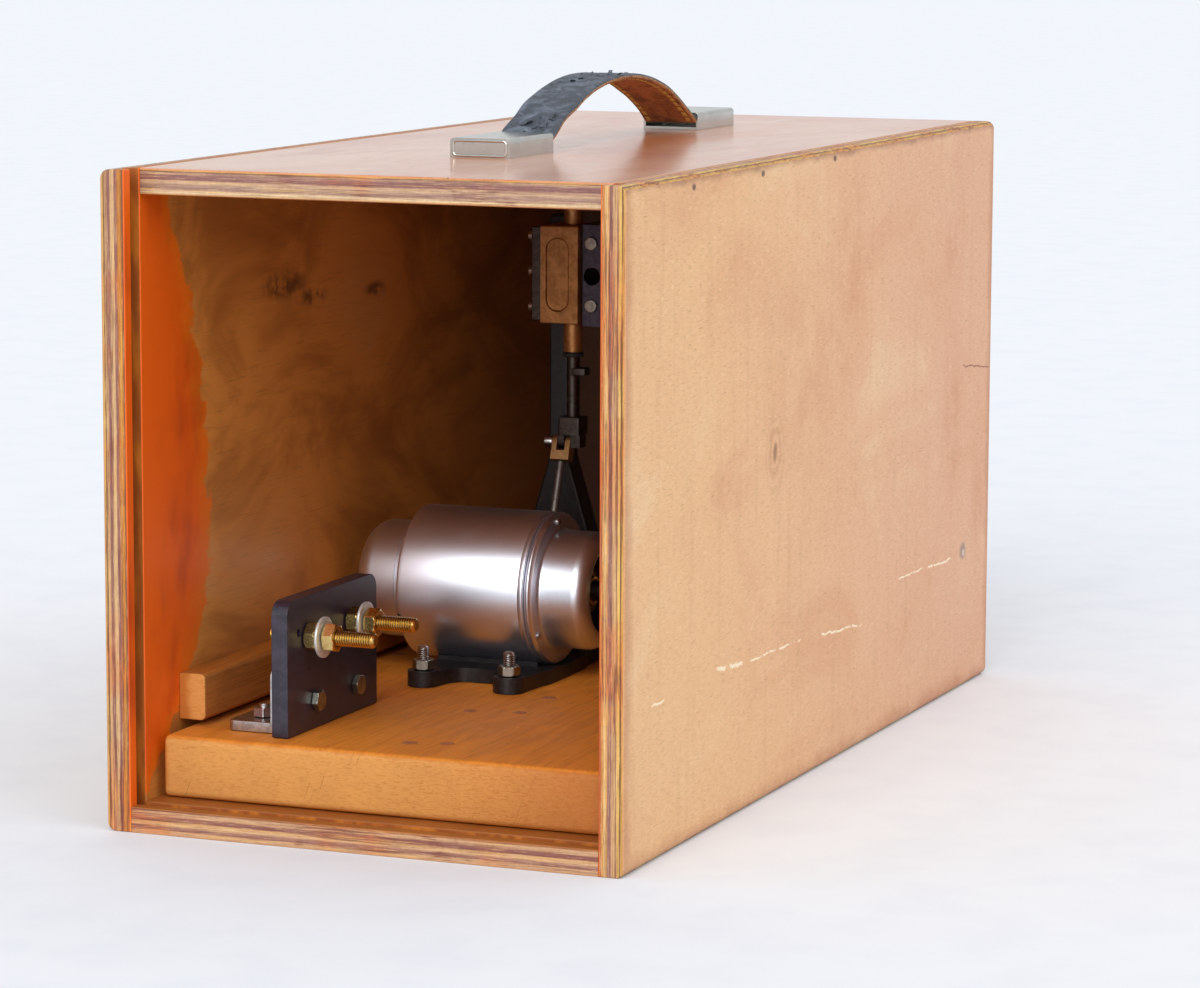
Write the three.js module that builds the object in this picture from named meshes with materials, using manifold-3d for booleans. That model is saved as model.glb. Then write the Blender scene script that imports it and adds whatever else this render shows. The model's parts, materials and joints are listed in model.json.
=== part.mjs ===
// Motor-driven plunger instrument on a slide-out board, in a plywood carrying case.
// Millimetres, +Z up. The origin is the bottom centre of the case, whose open front faces -Y.
import * as THREE from 'three';
import { mergeVertices } from 'three/addons/utils/BufferGeometryUtils.js';
import Module from 'manifold-3d';

const wasm = await Module();
wasm.setup();

// ---------- driving dimensions ----------

const GAP = 0.3; // running and resting clearance between neighbouring pieces

const CASE = { width: 210, depth: 444, height: 250, ply: 10, edgeRound: 3.5 };
const DOOR_GROOVE = { setback: 5.2, width: 7.2, depth: 5, floorWidth: 6.2, floorDepth: 4.5 };
const BATTEN = { width: 11, bottom: 36.5, height: 18, front: -182, back: 205, chamfer: 1.2 };

const CAP = {
  centreX: -2.5, width: 25, height: 7.6, length: 44, frontY: -105, rearY: 100,
  corner: 1.6, floor: 1.4, wall: 1, end: 2,
};
const STRAP = {
  width: 23, thick: 2.4, startY: -60.5, endY: 99.5, footZ: 253.1, apexY: 22, rise: 22, power: 2.1,
};

const BOARD = { halfWidth: 91, front: -202.5, back: 205, bottom: 10.3, top: 34, edgeRound: 3 };

const PLATE = {
  left: -50.7, right: -44, front: -191.5, back: -111.5, top: 86.5, corner: 6, footCorner: 0.6,
  hole: { y: -181.5, z: 73.4, radius: 1.5 },
};
const ANGLE = {
  thick: 4, footLeft: -73, front: -184.5, back: -116, legTop: 60, footCorner: 2.5, legCorner: 5,
};
const ANGLE_BOLTS = {
  x: -63, y: [-173, -128], acrossFlats: 8, head: 3.4, shank: 2, reach: 5, turn: 0.35,
};
const PLATE_SCREWS = {
  y: [-167, -131], z: 45, shank: 2, acrossFlats: 7.4, head: 2.6, pastAngle: 2, turn: 0.2,
};
const TERMINALS = { y: [-173.7, -136.2], z: 71, stud: 3, out: 28.5, behind: 8.5, tip: 0.6 };
const TERMINAL_NUT = {
  acrossFlats: 10, thick: 5, backTurn: 0.4, clampTurn: 0.25, looseTurn: 0.1, turnStep: 0.3,
};
const WASHER = { radius: 8, thick: 1.3, offNut: 0.9 };

const MOTOR = { y: -30, z: 70.5, radius: 31.2, left: -59, right: -3.1, wall: 2.7, shaftEnd: 40 };
const LEFT_COVER = {
  radius: 24, end: -82, fillet: 8, wall: 2.5, floor: 3, bossWall: 3.5, bossDepth: 10,
};
const RIGHT_SHIELD = {
  flangeLeft: -2.8, flangeRight: 0.5, radius: 24, end: 20.5, fillet: 6, recess: 12,
  wall: 2.5, rim: 1, web: 3, boss: 11, bossLeft: 4,
};
const SHAFT = 4; // radius of the motor and cross shafts
const BUSH = { outer: 7, flange: 9, flangeEnd: 14.2, tip: 15.8, left: -78.4, leftEnd: -72 };
const STATOR = { inner: 21.5, left: -52, right: -12 };
const ARMATURE = { radius: 20, left: -50, right: -14, collar: 10, collarEnd: -6, tail: -78 };

const FOOT = {
  top: 40, lugTop: 40.6, lugX: [-42.5, -5], lugRadius: 6.5, lugReach: 40, waist: 27,
  ease: 1, flare: 7, bulge: 2.5, sideFlare: 9,
};
const SADDLE = { left: -48.5, right: -4, half: 13, rise: 7, sink: 2, clear: 10 };
const FOOT_BOLT = { radius: 2.5, acrossFlats: 8, nutTop: 45, end: 50.5, turn: 0.3 };

const CROSS = { y: 44.5, z: 67.5, right: 42 }; // cross shaft behind the motor
const PEDESTAL = { left: -15, right: 19, halfBase: 20, foot: 6, taper: 5, head: 12, bushProud: 1 };
const PULLEY = {
  left: 28, right: 38, beltLeft: 31.3, beltRight: 34.7, beltThick: 3, lip: 0.6, mouth: 1.1, floor: 0.5,
};
const SMALL_PULLEY = 8.1; // groove floor radius on the motor shaft
const LARGE_PULLEY = 18.1; // groove floor radius on the cross shaft

const CRANK = {
  throw: 3, disc: 10, left: -31, right: -27, hub: 7, hubRight: -20, web: 2, pin: 2.5,
  pinGap: 0.4, pinBite: 0.5,
};
const ROD = { planeX: -35.3, thick: 4, bigEnd: 6, radius: 1.7 };
const PLUNGER = { x: -31, y: 60, pivotZ: 118, radius: 2.85, top: 203 };
const DOG = { reach: 6.6, half: 3, bottom: 147, top: 150.3 };
const FORK = { halfWidth: 4.25, halfSlot: 1.75, cheek: 3, slotFloor: -4.1, bottom: -8.4 };
const PIVOT = { pin: 1.5, inset: 0.4, head: 2.6, left: -43.6 };
const CROSSHEAD = {
  half: 5, corner: 1, bottom: 121.5, top: 129.2, cheekBottom: 116, cheekHalf: 3.5, inset: 0.5,
};

const HEAD = { left: -42.2, right: -24.9, front: 50, back: 73.7, bottom: 169.7, top: 211.2 };
const HEAD_SLOT = { x: -34.5, half: 5, corner: 4.9, bottom: 175, top: 206, depth: 1.2 };
const LEFT_PLATE = { left: -47, right: -42.5, front: 52, bottom: 170.5, top: 210.5 };
const RIGHT_PLATE = {
  left: -24.6, right: -15, front: 54, bottom: 168.5, top: 212, leftCorner: 0.5, rightCorner: 2,
  hole: { x: -20.2, z: 190, radius: 3.7 },
};
const HEAD_SCREWS = { z: [177.5, 204], head: 2.7, headThick: 1.6, shank: 1.3, length: 9 };
const GLAND = { outer: 4.1, bore: 3.2, bottom: 157, top: 169.4 };
const GLAND_RING = { outer: 4.5, bottom: 155, top: 156.7 };
const TOP_TUBE = { outer: 4.1, bore: 2, bottom: 211.5, top: 234 };
const STAND = {
  x: -43.5, front: 74, thick: 12, footTop: 42, footOut: 8, footIn: 2,
  mastHalf: 4.5, shoulder: 109.5, top: 214, spread: 0.29,
};

const BIG_SIDES = 40; // facets of the motor's turned pieces
const WHEEL_SIDES = 36; // facets of the pulleys
const SIDES = 16; // facets of small turned pieces
const ARC_STEPS = 6;
const BELT_STEPS = 20;
const STRAP_STEPS = 26;
const PAST = 1; // how far a cutting shape runs past the face it opens
const BITE = 1; // how far one shape reaches into the one it is joined to

// ---------- finishes ----------

function finish(color, roughness, metalness = 0) {
  return new THREE.MeshStandardMaterial({ color, roughness, metalness });
}

const plywood = finish(0xc9934f, 0.45);
const varnishedPine = finish(0xb8702c, 0.5);
const nickel = finish(0xc9c9c4, 0.25, 1);
const leather = finish(0x2f3238, 0.7);
const ebonite = finish(0x1d1b22, 0.45);
const zinc = finish(0x9a9a9c, 0.35, 1);
const brass = finish(0xb98b3c, 0.3, 1);
const bronze = finish(0x9c7343, 0.45, 1);
const aluminium = finish(0xc4c6cc, 0.3, 1);
const steel = finish(0x8c8d90, 0.4, 1);
const darkSteel = finish(0x4b4848, 0.45, 1);
const blackCasting = finish(0x17171a, 0.55);
const rubber = finish(0x1a1a1a, 0.8);
const copper = finish(0x8a4f2d, 0.5, 1);

// ---------- geometry helpers ----------

// Welds a geometry's vertices, drops collapsed triangles and turns its faces outwards.
function welded(geometry) {
  const bare = geometry.clone();
  bare.deleteAttribute('normal');
  bare.deleteAttribute('uv');
  const merged = mergeVertices(bare, 1e-4);
  const index = merged.index.array;
  const point = merged.attributes.position;
  const [a, b, c] = [new THREE.Vector3(), new THREE.Vector3(), new THREE.Vector3()];
  const kept = [];
  let volume = 0;
  for (let i = 0; i < index.length; i += 3) {
    const [p, q, r] = [index[i], index[i + 1], index[i + 2]];
    if (p === q || q === r || r === p) continue;
    kept.push([p, q, r]);
    volume += a.fromBufferAttribute(point, p).dot(
      b.fromBufferAttribute(point, q).cross(c.fromBufferAttribute(point, r)));
  }
  merged.setIndex(kept.flatMap((t) => (volume < 0 ? [t[0], t[2], t[1]] : t)));
  return merged;
}

function toSolid(geometry) {
  const mesh = welded(geometry);
  return new wasm.Manifold(new wasm.Mesh({
    numProp: 3,
    vertProperties: Float32Array.from(mesh.attributes.position.array),
    triVerts: Uint32Array.from(mesh.index.array),
  }));
}

function toGeometry(solid) {
  const { vertProperties, triVerts } = solid.getMesh();
  const geometry = new THREE.BufferGeometry();
  geometry.setAttribute('position', new THREE.Float32BufferAttribute(vertProperties, 3));
  geometry.setIndex(Array.from(triVerts));
  return geometry;
}

function join(first, ...others) {
  return toGeometry(others.reduce((sum, part) => sum.add(toSolid(part)), toSolid(first)));
}

function cut(first, ...tools) {
  return toGeometry(tools.reduce((rest, tool) => rest.subtract(toSolid(tool)), toSolid(first)));
}

function box(x0, x1, y0, y1, z0, z1) {
  const geometry = new THREE.BoxGeometry(x1 - x0, y1 - y0, z1 - z0);
  return geometry.translate((x0 + x1) / 2, (y0 + y1) / 2, (z0 + z1) / 2);
}

// Turns a geometry whose axis is +Y so that the axis points along x, y or z.
function aim(geometry, axis) {
  if (axis === 'x') return geometry.rotateZ(-Math.PI / 2);
  if (axis === 'z') return geometry.rotateX(Math.PI / 2);
  return geometry;
}

// A cylinder on the local axis through the origin, from one position along it to another.
function rod(axis, radius, from, to, sides = SIDES) {
  const geometry = new THREE.CylinderGeometry(radius, radius, to - from, sides);
  return aim(geometry.translate(0, (from + to) / 2, 0), axis);
}

// A turned piece: the profile is a list of [radius, position along the axis].
function turned(axis, profile, sides = SIDES) {
  const points = profile.map(([radius, along]) => new THREE.Vector2(radius, along));
  return welded(aim(new THREE.LatheGeometry(points, sides), axis));
}

// A ring of rectangular section.
function ring(axis, inner, outer, from, to, sides = SIDES) {
  return turned(axis, [[inner, from], [outer, from], [outer, to], [inner, to], [inner, from]], sides);
}

// The points of a quarter round, from one angle to another, for a turned profile.
function quarter(radiusCentre, alongCentre, size, startAngle, endAngle) {
  return Array.from({ length: ARC_STEPS + 1 }, (_, i) => {
    const angle = startAngle + ((endAngle - startAngle) * i) / ARC_STEPS;
    return [radiusCentre + size * Math.cos(angle), alongCentre + size * Math.sin(angle)];
  });
}

// Extrudes an outline. Its two directions are (Y, Z) for axis x, (X, Z) for y, (X, Y) for z.
function extrude(axis, outline, from, to) {
  const flipped = axis === 'y';
  const settings = { depth: to - from, bevelEnabled: false, curveSegments: ARC_STEPS };
  const geometry = new THREE.ExtrudeGeometry(outline, settings);
  geometry.translate(0, 0, flipped ? -to : from);
  const [x, y, z] = [
    new THREE.Vector3(1, 0, 0), new THREE.Vector3(0, 1, 0), new THREE.Vector3(0, 0, 1)];
  const basis = new THREE.Matrix4();
  if (axis === 'x') basis.makeBasis(y, z, x);
  if (flipped) basis.makeBasis(x, z, y.clone().negate());
  return geometry.applyMatrix4(basis);
}

// A rectangle whose corners are rounded by the radii given for low-low, high-low, high-high, low-high.
function roundedRectangle(u0, u1, v0, v1, [r00, r10, r11, r01]) {
  const shape = new THREE.Shape();
  shape.moveTo(u0 + r00, v0);
  shape.lineTo(u1 - r10, v0);
  if (r10) shape.absarc(u1 - r10, v0 + r10, r10, -Math.PI / 2, 0);
  shape.lineTo(u1, v1 - r11);
  if (r11) shape.absarc(u1 - r11, v1 - r11, r11, 0, Math.PI / 2);
  shape.lineTo(u0 + r01, v1);
  if (r01) shape.absarc(u0 + r01, v1 - r01, r01, Math.PI / 2, Math.PI);
  shape.lineTo(u0, v0 + r00);
  if (r00) shape.absarc(u0 + r00, v0 + r00, r00, Math.PI, 1.5 * Math.PI);
  return shape;
}

function roundHole(u, v, radius) {
  return new THREE.Path().absarc(u, v, radius, 0, 2 * Math.PI, true);
}

// A hexagonal nut with a plain bore; turn rotates it about its axis.
function hexNut(axis, acrossFlats, bore, from, to, turn = 0) {
  const outline = new THREE.Shape(Array.from({ length: 6 }, (_, i) => {
    const angle = turn + (i * Math.PI) / 3;
    const corner = acrossFlats / Math.sqrt(3);
    return new THREE.Vector2(corner * Math.cos(angle), corner * Math.sin(angle));
  }));
  outline.holes.push(roundHole(0, 0, bore));
  return extrude(axis, outline, from, to);
}

// A hexagonal head or nut fused to its own shank.
function hexBolt(axis, acrossFlats, headFrom, headTo, shank, shankFrom, shankTo, turn = 0) {
  const head = rod(axis, acrossFlats / Math.sqrt(3), headFrom, headTo, 6);
  if (axis === 'x') head.rotateX(turn);
  if (axis === 'z') head.rotateZ(turn);
  return join(head, rod(axis, shank, shankFrom, shankTo, SIDES));
}

function place(group, name, geometry, material) {
  const mesh = new THREE.Mesh(geometry, material);
  mesh.name = name;
  group.add(mesh);
}

function groupAt(parent, x, y, z) {
  const group = new THREE.Group();
  group.position.set(x, y, z);
  parent.add(group);
  return group;
}

// ---------- plywood case ----------

// A side panel stands the full height and depth; its two long outer edges are rounded.
function sidePanel(side) {
  const inner = CASE.width / 2 - CASE.ply;
  const round = CASE.edgeRound;
  const outline = roundedRectangle(inner, CASE.width / 2, 0, CASE.height, [0, round, round, 0]);
  const panel = extrude('y', outline, -CASE.depth / 2, CASE.depth / 2);
  const front = -CASE.depth / 2 + DOOR_GROOVE.setback;
  const groove = box(inner - PAST, inner + DOOR_GROOVE.depth, front, front + DOOR_GROOVE.width,
    CASE.ply - DOOR_GROOVE.floorDepth, CASE.height + PAST);
  const geometry = cut(panel, groove);
  return side > 0 ? geometry : welded(geometry.scale(-1, 1, 1));
}

function buildCase(object) {
  const half = CASE.width / 2 - CASE.ply;
  const front = -CASE.depth / 2;
  const back = CASE.depth / 2;
  const grooveFront = front + DOOR_GROOVE.setback;
  const grooveBack = grooveFront + DOOR_GROOVE.width;
  const floorGroove = box(-half - PAST, half + PAST, grooveFront, grooveFront + DOOR_GROOVE.floorWidth,
    CASE.ply - DOOR_GROOVE.floorDepth, CASE.ply + PAST);
  place(object, 'case_side_left', sidePanel(-1), plywood);
  place(object, 'case_side_right', sidePanel(1), plywood);
  place(object, 'case_bottom_panel', cut(box(-half, half, front, back, 0, CASE.ply), floorGroove), plywood);
  place(object, 'case_top_panel',
    box(-half, half, grooveBack, back, CASE.height - CASE.ply, CASE.height), plywood);
  place(object, 'case_back_panel',
    box(-half, half, back - CASE.ply, back, CASE.ply, CASE.height - CASE.ply), plywood);
  for (const [name, side] of [['guide_batten_left', -1], ['guide_batten_right', 1]]) {
    const wall = side * half;
    const edge = side * (half - BATTEN.width);
    const c = BATTEN.chamfer;
    const z0 = BATTEN.bottom;
    const z1 = BATTEN.bottom + BATTEN.height;
    const outline = new THREE.Shape([[wall, z0], [wall, z1], [edge + side * c, z1], [edge, z1 - c],
      [edge, z0 + c], [edge + side * c, z0]].map(([x, z]) => new THREE.Vector2(x, z)));
    place(object, name, welded(extrude('y', outline, BATTEN.front, BATTEN.back)), varnishedPine);
  }
}

// ---------- carrying handle ----------

// A pressed cap: a rounded shell closed at its outer end, with a mouth for the strap.
function handleCap(y0, y1, mouthAtHighY) {
  const base = CASE.height;
  const x0 = CAP.centreX - CAP.width / 2;
  const x1 = CAP.centreX + CAP.width / 2;
  const { height, wall, corner } = CAP;
  const outline = roundedRectangle(x0, x1, base, base + height, [0, 0, corner, corner]);
  const mouth = mouthAtHighY ? [y0 + CAP.end, y1 + PAST] : [y0 - PAST, y1 - CAP.end];
  return cut(extrude('y', outline, y0, y1),
    box(x0 + wall, x1 - wall, mouth[0], mouth[1], base + CAP.floor, base + height - wall));
}

// Height of the strap's underside over its length: a bow that eases into the caps at both ends.
function strapHeight(t) {
  return STRAP.footZ + STRAP.rise * (1 - Math.abs(t) ** STRAP.power);
}

function buildHandle(object) {
  place(object, 'handle_cap_front', handleCap(CAP.frontY, CAP.frontY + CAP.length, true), nickel);
  place(object, 'handle_cap_rear', handleCap(CAP.rearY, CAP.rearY + CAP.length, false), nickel);
  const low = [];
  const high = [];
  for (let i = 0; i <= STRAP_STEPS; i += 1) {
    const y = STRAP.startY + ((STRAP.endY - STRAP.startY) * i) / STRAP_STEPS;
    const half = y < STRAP.apexY ? STRAP.apexY - STRAP.startY : STRAP.endY - STRAP.apexY;
    const z = strapHeight((y - STRAP.apexY) / half);
    low.push(new THREE.Vector2(y, z));
    high.unshift(new THREE.Vector2(y, z + STRAP.thick));
  }
  const x0 = CAP.centreX - STRAP.width / 2;
  place(object, 'handle_strap', extrude('x', new THREE.Shape([...low, ...high]), x0, x0 + STRAP.width),
    leather);
}

// ---------- board and terminals ----------

function buildBoard(object) {
  const r = BOARD.edgeRound;
  const outline = roundedRectangle(BOARD.front, BOARD.back, BOARD.bottom, BOARD.top, [r, r, r, r]);
  place(object, 'base_board', extrude('x', outline, -BOARD.halfWidth, BOARD.halfWidth), varnishedPine);
}

// Steel angle behind the terminal plate: a foot bolted to the board, and an upright leg.
function buildAngle(object) {
  const z0 = BOARD.top + GAP;
  const legRight = PLATE.left - GAP;
  const legLeft = legRight - ANGLE.thick;
  const { front, back, footCorner, legCorner } = ANGLE;
  const { x, head, shank, reach, turn } = ANGLE_BOLTS;
  const plan = roundedRectangle(ANGLE.footLeft, legRight, front, back, [footCorner, 0, 0, footCorner]);
  plan.holes.push(...ANGLE_BOLTS.y.map((y) => roundHole(x, y, shank + GAP)));
  const leg = roundedRectangle(front, back, z0, ANGLE.legTop, [0, 0, legCorner, legCorner]);
  leg.holes.push(...PLATE_SCREWS.y.map((y) => roundHole(y, PLATE_SCREWS.z, PLATE_SCREWS.shank + GAP)));
  place(object, 'terminal_angle',
    join(extrude('z', plan, z0, z0 + ANGLE.thick), extrude('x', leg, legLeft, legRight)), steel);
  ANGLE_BOLTS.y.forEach((y, i) => {
    const at = groupAt(object, x, y, z0 + ANGLE.thick + GAP);
    place(at, `angle_bolt_${i + 1}`,
      hexBolt('z', ANGLE_BOLTS.acrossFlats, 0, head, shank, -ANGLE.thick, reach, turn), zinc);
  });
}

function buildTerminalPlate(object) {
  const { corner, footCorner, hole } = PLATE;
  const outline = roundedRectangle(PLATE.front, PLATE.back, BOARD.top + GAP, PLATE.top,
    [footCorner, footCorner, corner, corner]);
  for (const y of TERMINALS.y) {
    outline.holes.push(roundHole(y, TERMINALS.z, TERMINALS.stud + GAP));
  }
  for (const y of PLATE_SCREWS.y) {
    outline.holes.push(roundHole(y, PLATE_SCREWS.z, PLATE_SCREWS.shank + GAP));
  }
  outline.holes.push(roundHole(hole.y, hole.z, hole.radius));
  place(object, 'terminal_plate', extrude('x', outline, PLATE.left, PLATE.right), ebonite);
  const { acrossFlats, head, shank, pastAngle, turn } = PLATE_SCREWS;
  const shankEnd = PLATE.left - ANGLE.thick - pastAngle - PLATE.right;
  PLATE_SCREWS.y.forEach((y, i) => {
    const at = groupAt(object, PLATE.right + GAP, y, PLATE_SCREWS.z);
    place(at, `plate_screw_${i + 1}`,
      hexBolt('x', acrossFlats, 0, head, shank, shankEnd, BITE, turn), zinc);
  });
}

// One binding post: a stud held by a nut on each side of the plate, then a washer and a loose nut.
function buildTerminal(object, number, y) {
  const at = groupAt(object, PLATE.right, y, TERMINALS.z);
  const { stud, out, tip } = TERMINALS;
  const bore = stud + GAP;
  const { acrossFlats, thick, backTurn, clampTurn, looseTurn, turnStep } = TERMINAL_NUT;
  const behind = PLATE.left - PLATE.right;
  const washerStart = thick + GAP + WASHER.offNut;
  const washerEnd = washerStart + WASHER.thick;
  const looseStart = washerEnd + GAP;
  place(at, `terminal_stud_${number}`,
    turned('x', [[0, behind - TERMINALS.behind], [stud, behind - TERMINALS.behind],
      [stud, out - tip], [stud - tip, out], [0, out]]), brass);
  place(at, `terminal_back_nut_${number}`,
    hexNut('x', acrossFlats, bore, behind - GAP - thick, behind - GAP, backTurn), brass);
  place(at, `terminal_clamp_nut_${number}`,
    hexNut('x', acrossFlats, bore, GAP, GAP + thick, clampTurn), brass);
  place(at, `terminal_washer_${number}`, ring('x', bore, WASHER.radius, washerStart, washerEnd), zinc);
  place(at, `terminal_nut_${number}`,
    hexNut('x', acrossFlats, bore, looseStart, looseStart + thick, looseTurn + turnStep * number), brass);
}

// ---------- motor ----------

// The left cover is a cup with a filleted end and an inside boss for its bush.
function leftCover() {
  const { radius, end, fillet, wall, floor, bossWall, bossDepth } = LEFT_COVER;
  const open = MOTOR.left - GAP;
  const bore = BUSH.outer + GAP;
  const boss = BUSH.outer + bossWall;
  const outside = quarter(radius - fillet, end + fillet, fillet, 0, -Math.PI / 2);
  return turned('x', [
    [0, end + floor], [bore, end + floor], [bore, end + bossDepth],
    [boss, end + bossDepth], [boss, end + wall],
    [radius - fillet, end + wall], [radius - wall, end + fillet], [radius - wall, open],
    [radius, open], ...outside, [0, end]], BIG_SIDES);
}

// The right shield is a flange and a cup whose end is recessed around the bearing.
function rightShield() {
  const { flangeLeft, flangeRight, radius, end, fillet, recess } = RIGHT_SHIELD;
  const { wall, rim, web, boss, bossLeft } = RIGHT_SHIELD;
  const inner = radius - wall;
  const mouth = radius - fillet - rim;
  const bore = BUSH.outer + GAP;
  const corner = quarter(radius - fillet, end - fillet, fillet, 0, Math.PI / 2);
  return turned('x', [
    [inner, flangeLeft], [MOTOR.radius, flangeLeft], [MOTOR.radius, flangeRight], [radius, flangeRight],
    ...corner, [mouth, end], [mouth, recess], [bore, recess], [bore, bossLeft],
    [boss, bossLeft], [boss, recess - web], [inner, recess - web], [inner, flangeLeft]], BIG_SIDES);
}

function buildMotor(object) {
  const at = groupAt(object, 0, MOTOR.y, MOTOR.z);
  const { radius, left, right, wall } = MOTOR;
  const eye = LEFT_COVER.radius - LEFT_COVER.wall;
  place(at, 'motor_body', turned('x', [
    [eye, left], [radius, left], [radius, right], [radius - wall, right],
    [radius - wall, left + wall], [eye, left + wall], [eye, left]], BIG_SIDES), aluminium);
  place(at, 'motor_left_cover', leftCover(), aluminium);
  place(at, 'motor_right_shield', rightShield(), aluminium);
  place(at, 'motor_field_ring',
    ring('x', STATOR.inner, radius - wall - GAP, STATOR.left, STATOR.right, BIG_SIDES), copper);
  const bore = SHAFT + GAP;
  const start = RIGHT_SHIELD.bossLeft;
  const seat = RIGHT_SHIELD.recess + GAP;
  place(at, 'motor_bush_left', ring('x', bore, BUSH.outer, BUSH.left, BUSH.leftEnd), brass);
  place(at, 'motor_bush_right', turned('x', [
    [bore, start], [BUSH.outer, start], [BUSH.outer, seat], [BUSH.flange, seat],
    [BUSH.flange, BUSH.flangeEnd], [BUSH.outer - 1, BUSH.tip], [bore, BUSH.tip], [bore, start]]), brass);
  const { tail, collar, collarEnd } = ARMATURE;
  place(at, 'motor_armature', turned('x', [
    [0, tail], [SHAFT, tail], [SHAFT, ARMATURE.left], [ARMATURE.radius, ARMATURE.left],
    [ARMATURE.radius, ARMATURE.right], [collar, ARMATURE.right], [collar, collarEnd], [SHAFT, collarEnd],
    [SHAFT, MOTOR.shaftEnd], [0, MOTOR.shaftEnd]]), darkSteel);
}

// Plan of the foot casting: four round lugs joined by a waisted plate.
function footPlan() {
  const [leftX, rightX] = FOOT.lugX;
  const { lugRadius: r, lugReach, waist, ease, flare, bulge, sideFlare } = FOOT;
  const shape = new THREE.Shape();
  shape.moveTo(leftX - r, -lugReach);
  shape.absarc(leftX, -lugReach, r, Math.PI, 2 * Math.PI);
  shape.quadraticCurveTo(leftX + r + ease, -waist - ease, leftX + r + flare, -waist);
  shape.lineTo(rightX - r - flare, -waist);
  shape.quadraticCurveTo(rightX - r - ease, -waist - ease, rightX - r, -lugReach);
  shape.absarc(rightX, -lugReach, r, Math.PI, 2 * Math.PI);
  shape.quadraticCurveTo(rightX + r, -waist, rightX + r + bulge, -waist + sideFlare);
  shape.lineTo(rightX + r + bulge, waist - sideFlare);
  shape.quadraticCurveTo(rightX + r, waist, rightX + r, lugReach);
  shape.absarc(rightX, lugReach, r, 0, Math.PI);
  shape.quadraticCurveTo(rightX - r - ease, waist + ease, rightX - r - flare, waist);
  shape.lineTo(leftX + r + flare, waist);
  shape.quadraticCurveTo(leftX + r + ease, waist + ease, leftX + r, lugReach);
  shape.absarc(leftX, lugReach, r, 0, Math.PI);
  return shape;
}

function buildMotorFoot(object) {
  const at = groupAt(object, 0, MOTOR.y, 0);
  const z0 = BOARD.top + GAP;
  const [leftX, rightX] = FOOT.lugX;
  const plate = extrude('z', footPlan(), z0, FOOT.top);
  const lugs = [];
  const holes = [];
  const corners = [[leftX, -1], [rightX, -1], [leftX, 1], [rightX, 1]];
  for (const [x, side] of corners) {
    const y = side * FOOT.lugReach;
    lugs.push(rod('z', FOOT.lugRadius, z0, FOOT.lugTop).translate(x, y, 0));
    holes.push(rod('z', FOOT_BOLT.radius + GAP, z0 - PAST, FOOT.lugTop + PAST).translate(x, y, 0));
  }
  const { half, sink, rise, clear } = SADDLE;
  const saddle = box(SADDLE.left, SADDLE.right, -half, half, FOOT.top - sink, FOOT.top + rise);
  const bed = rod('x', MOTOR.radius + GAP, leftX - clear, rightX + clear, BIG_SIDES);
  bed.translate(0, 0, MOTOR.z);
  place(at, 'motor_foot', cut(join(plate, saddle, ...lugs), bed, ...holes), blackCasting);
  corners.forEach(([x, side], i) => {
    const bolt = groupAt(at, x, side * FOOT.lugReach, 0);
    place(bolt, `motor_bolt_${i + 1}`, hexBolt('z', FOOT_BOLT.acrossFlats, FOOT.lugTop + GAP,
      FOOT_BOLT.nutTop, FOOT_BOLT.radius, z0 + PAST, FOOT_BOLT.end, FOOT_BOLT.turn + i), zinc);
  });
}

// ---------- belt drive and crank ----------

// A grooved pulley with a running bore.
function pulley(grooveFloor) {
  const rim = grooveFloor + GAP + PULLEY.beltThick + PULLEY.lip;
  const { left, right, beltLeft, beltRight, mouth, floor } = PULLEY;
  const bore = SHAFT + GAP;
  return turned('x', [
    [bore, left], [rim, left], [rim, beltLeft - mouth], [grooveFloor, beltLeft - floor],
    [grooveFloor, beltRight + floor], [rim, beltRight + mouth], [rim, right], [bore, right],
    [bore, left]], WHEEL_SIDES);
}

// The loop of a belt around two wheels, grown outwards from the groove floors by a distance.
function beltLoop(distance, loop) {
  const small = SMALL_PULLEY + distance;
  const large = LARGE_PULLEY + distance;
  const dy = CROSS.y - MOTOR.y;
  const dz = CROSS.z - MOTOR.z;
  const slope = Math.atan2(dz, dy);
  const wrap = Math.acos((small - large) / Math.hypot(dy, dz));
  loop.absarc(CROSS.y, CROSS.z, large, slope - wrap, slope + wrap);
  loop.absarc(MOTOR.y, MOTOR.z, small, slope + wrap, slope - wrap + 2 * Math.PI);
  loop.closePath();
  return loop;
}

function buildBelt(object) {
  const outline = beltLoop(GAP + PULLEY.beltThick, new THREE.Shape());
  outline.holes.push(beltLoop(GAP, new THREE.Path()));
  const depth = PULLEY.beltRight - PULLEY.beltLeft;
  const settings = { depth, bevelEnabled: false, curveSegments: BELT_STEPS };
  const basis = new THREE.Matrix4().makeBasis(
    new THREE.Vector3(0, 1, 0), new THREE.Vector3(0, 0, 1), new THREE.Vector3(1, 0, 0));
  const belt = new THREE.ExtrudeGeometry(outline, settings).applyMatrix4(basis);
  place(object, 'drive_belt', belt.translate(PULLEY.beltLeft, 0, 0), rubber);
}

// A bearing pedestal: a flat foot, a tapering web and a round head around the bush.
function pedestal() {
  const { left, right, halfBase, foot, taper, head } = PEDESTAL;
  const rise = CROSS.z - BOARD.top - GAP;
  const outline = new THREE.Shape();
  outline.moveTo(-halfBase, -rise);
  outline.lineTo(halfBase, -rise);
  outline.lineTo(halfBase, -rise + foot);
  outline.lineTo(head, -rise + foot + taper);
  outline.lineTo(head, 0);
  outline.absarc(0, 0, head, 0, Math.PI);
  outline.lineTo(-head, -rise + foot + taper);
  outline.lineTo(-halfBase, -rise + foot);
  outline.holes.push(roundHole(0, 0, BUSH.outer + GAP));
  return extrude('x', outline, left, right);
}

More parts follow.
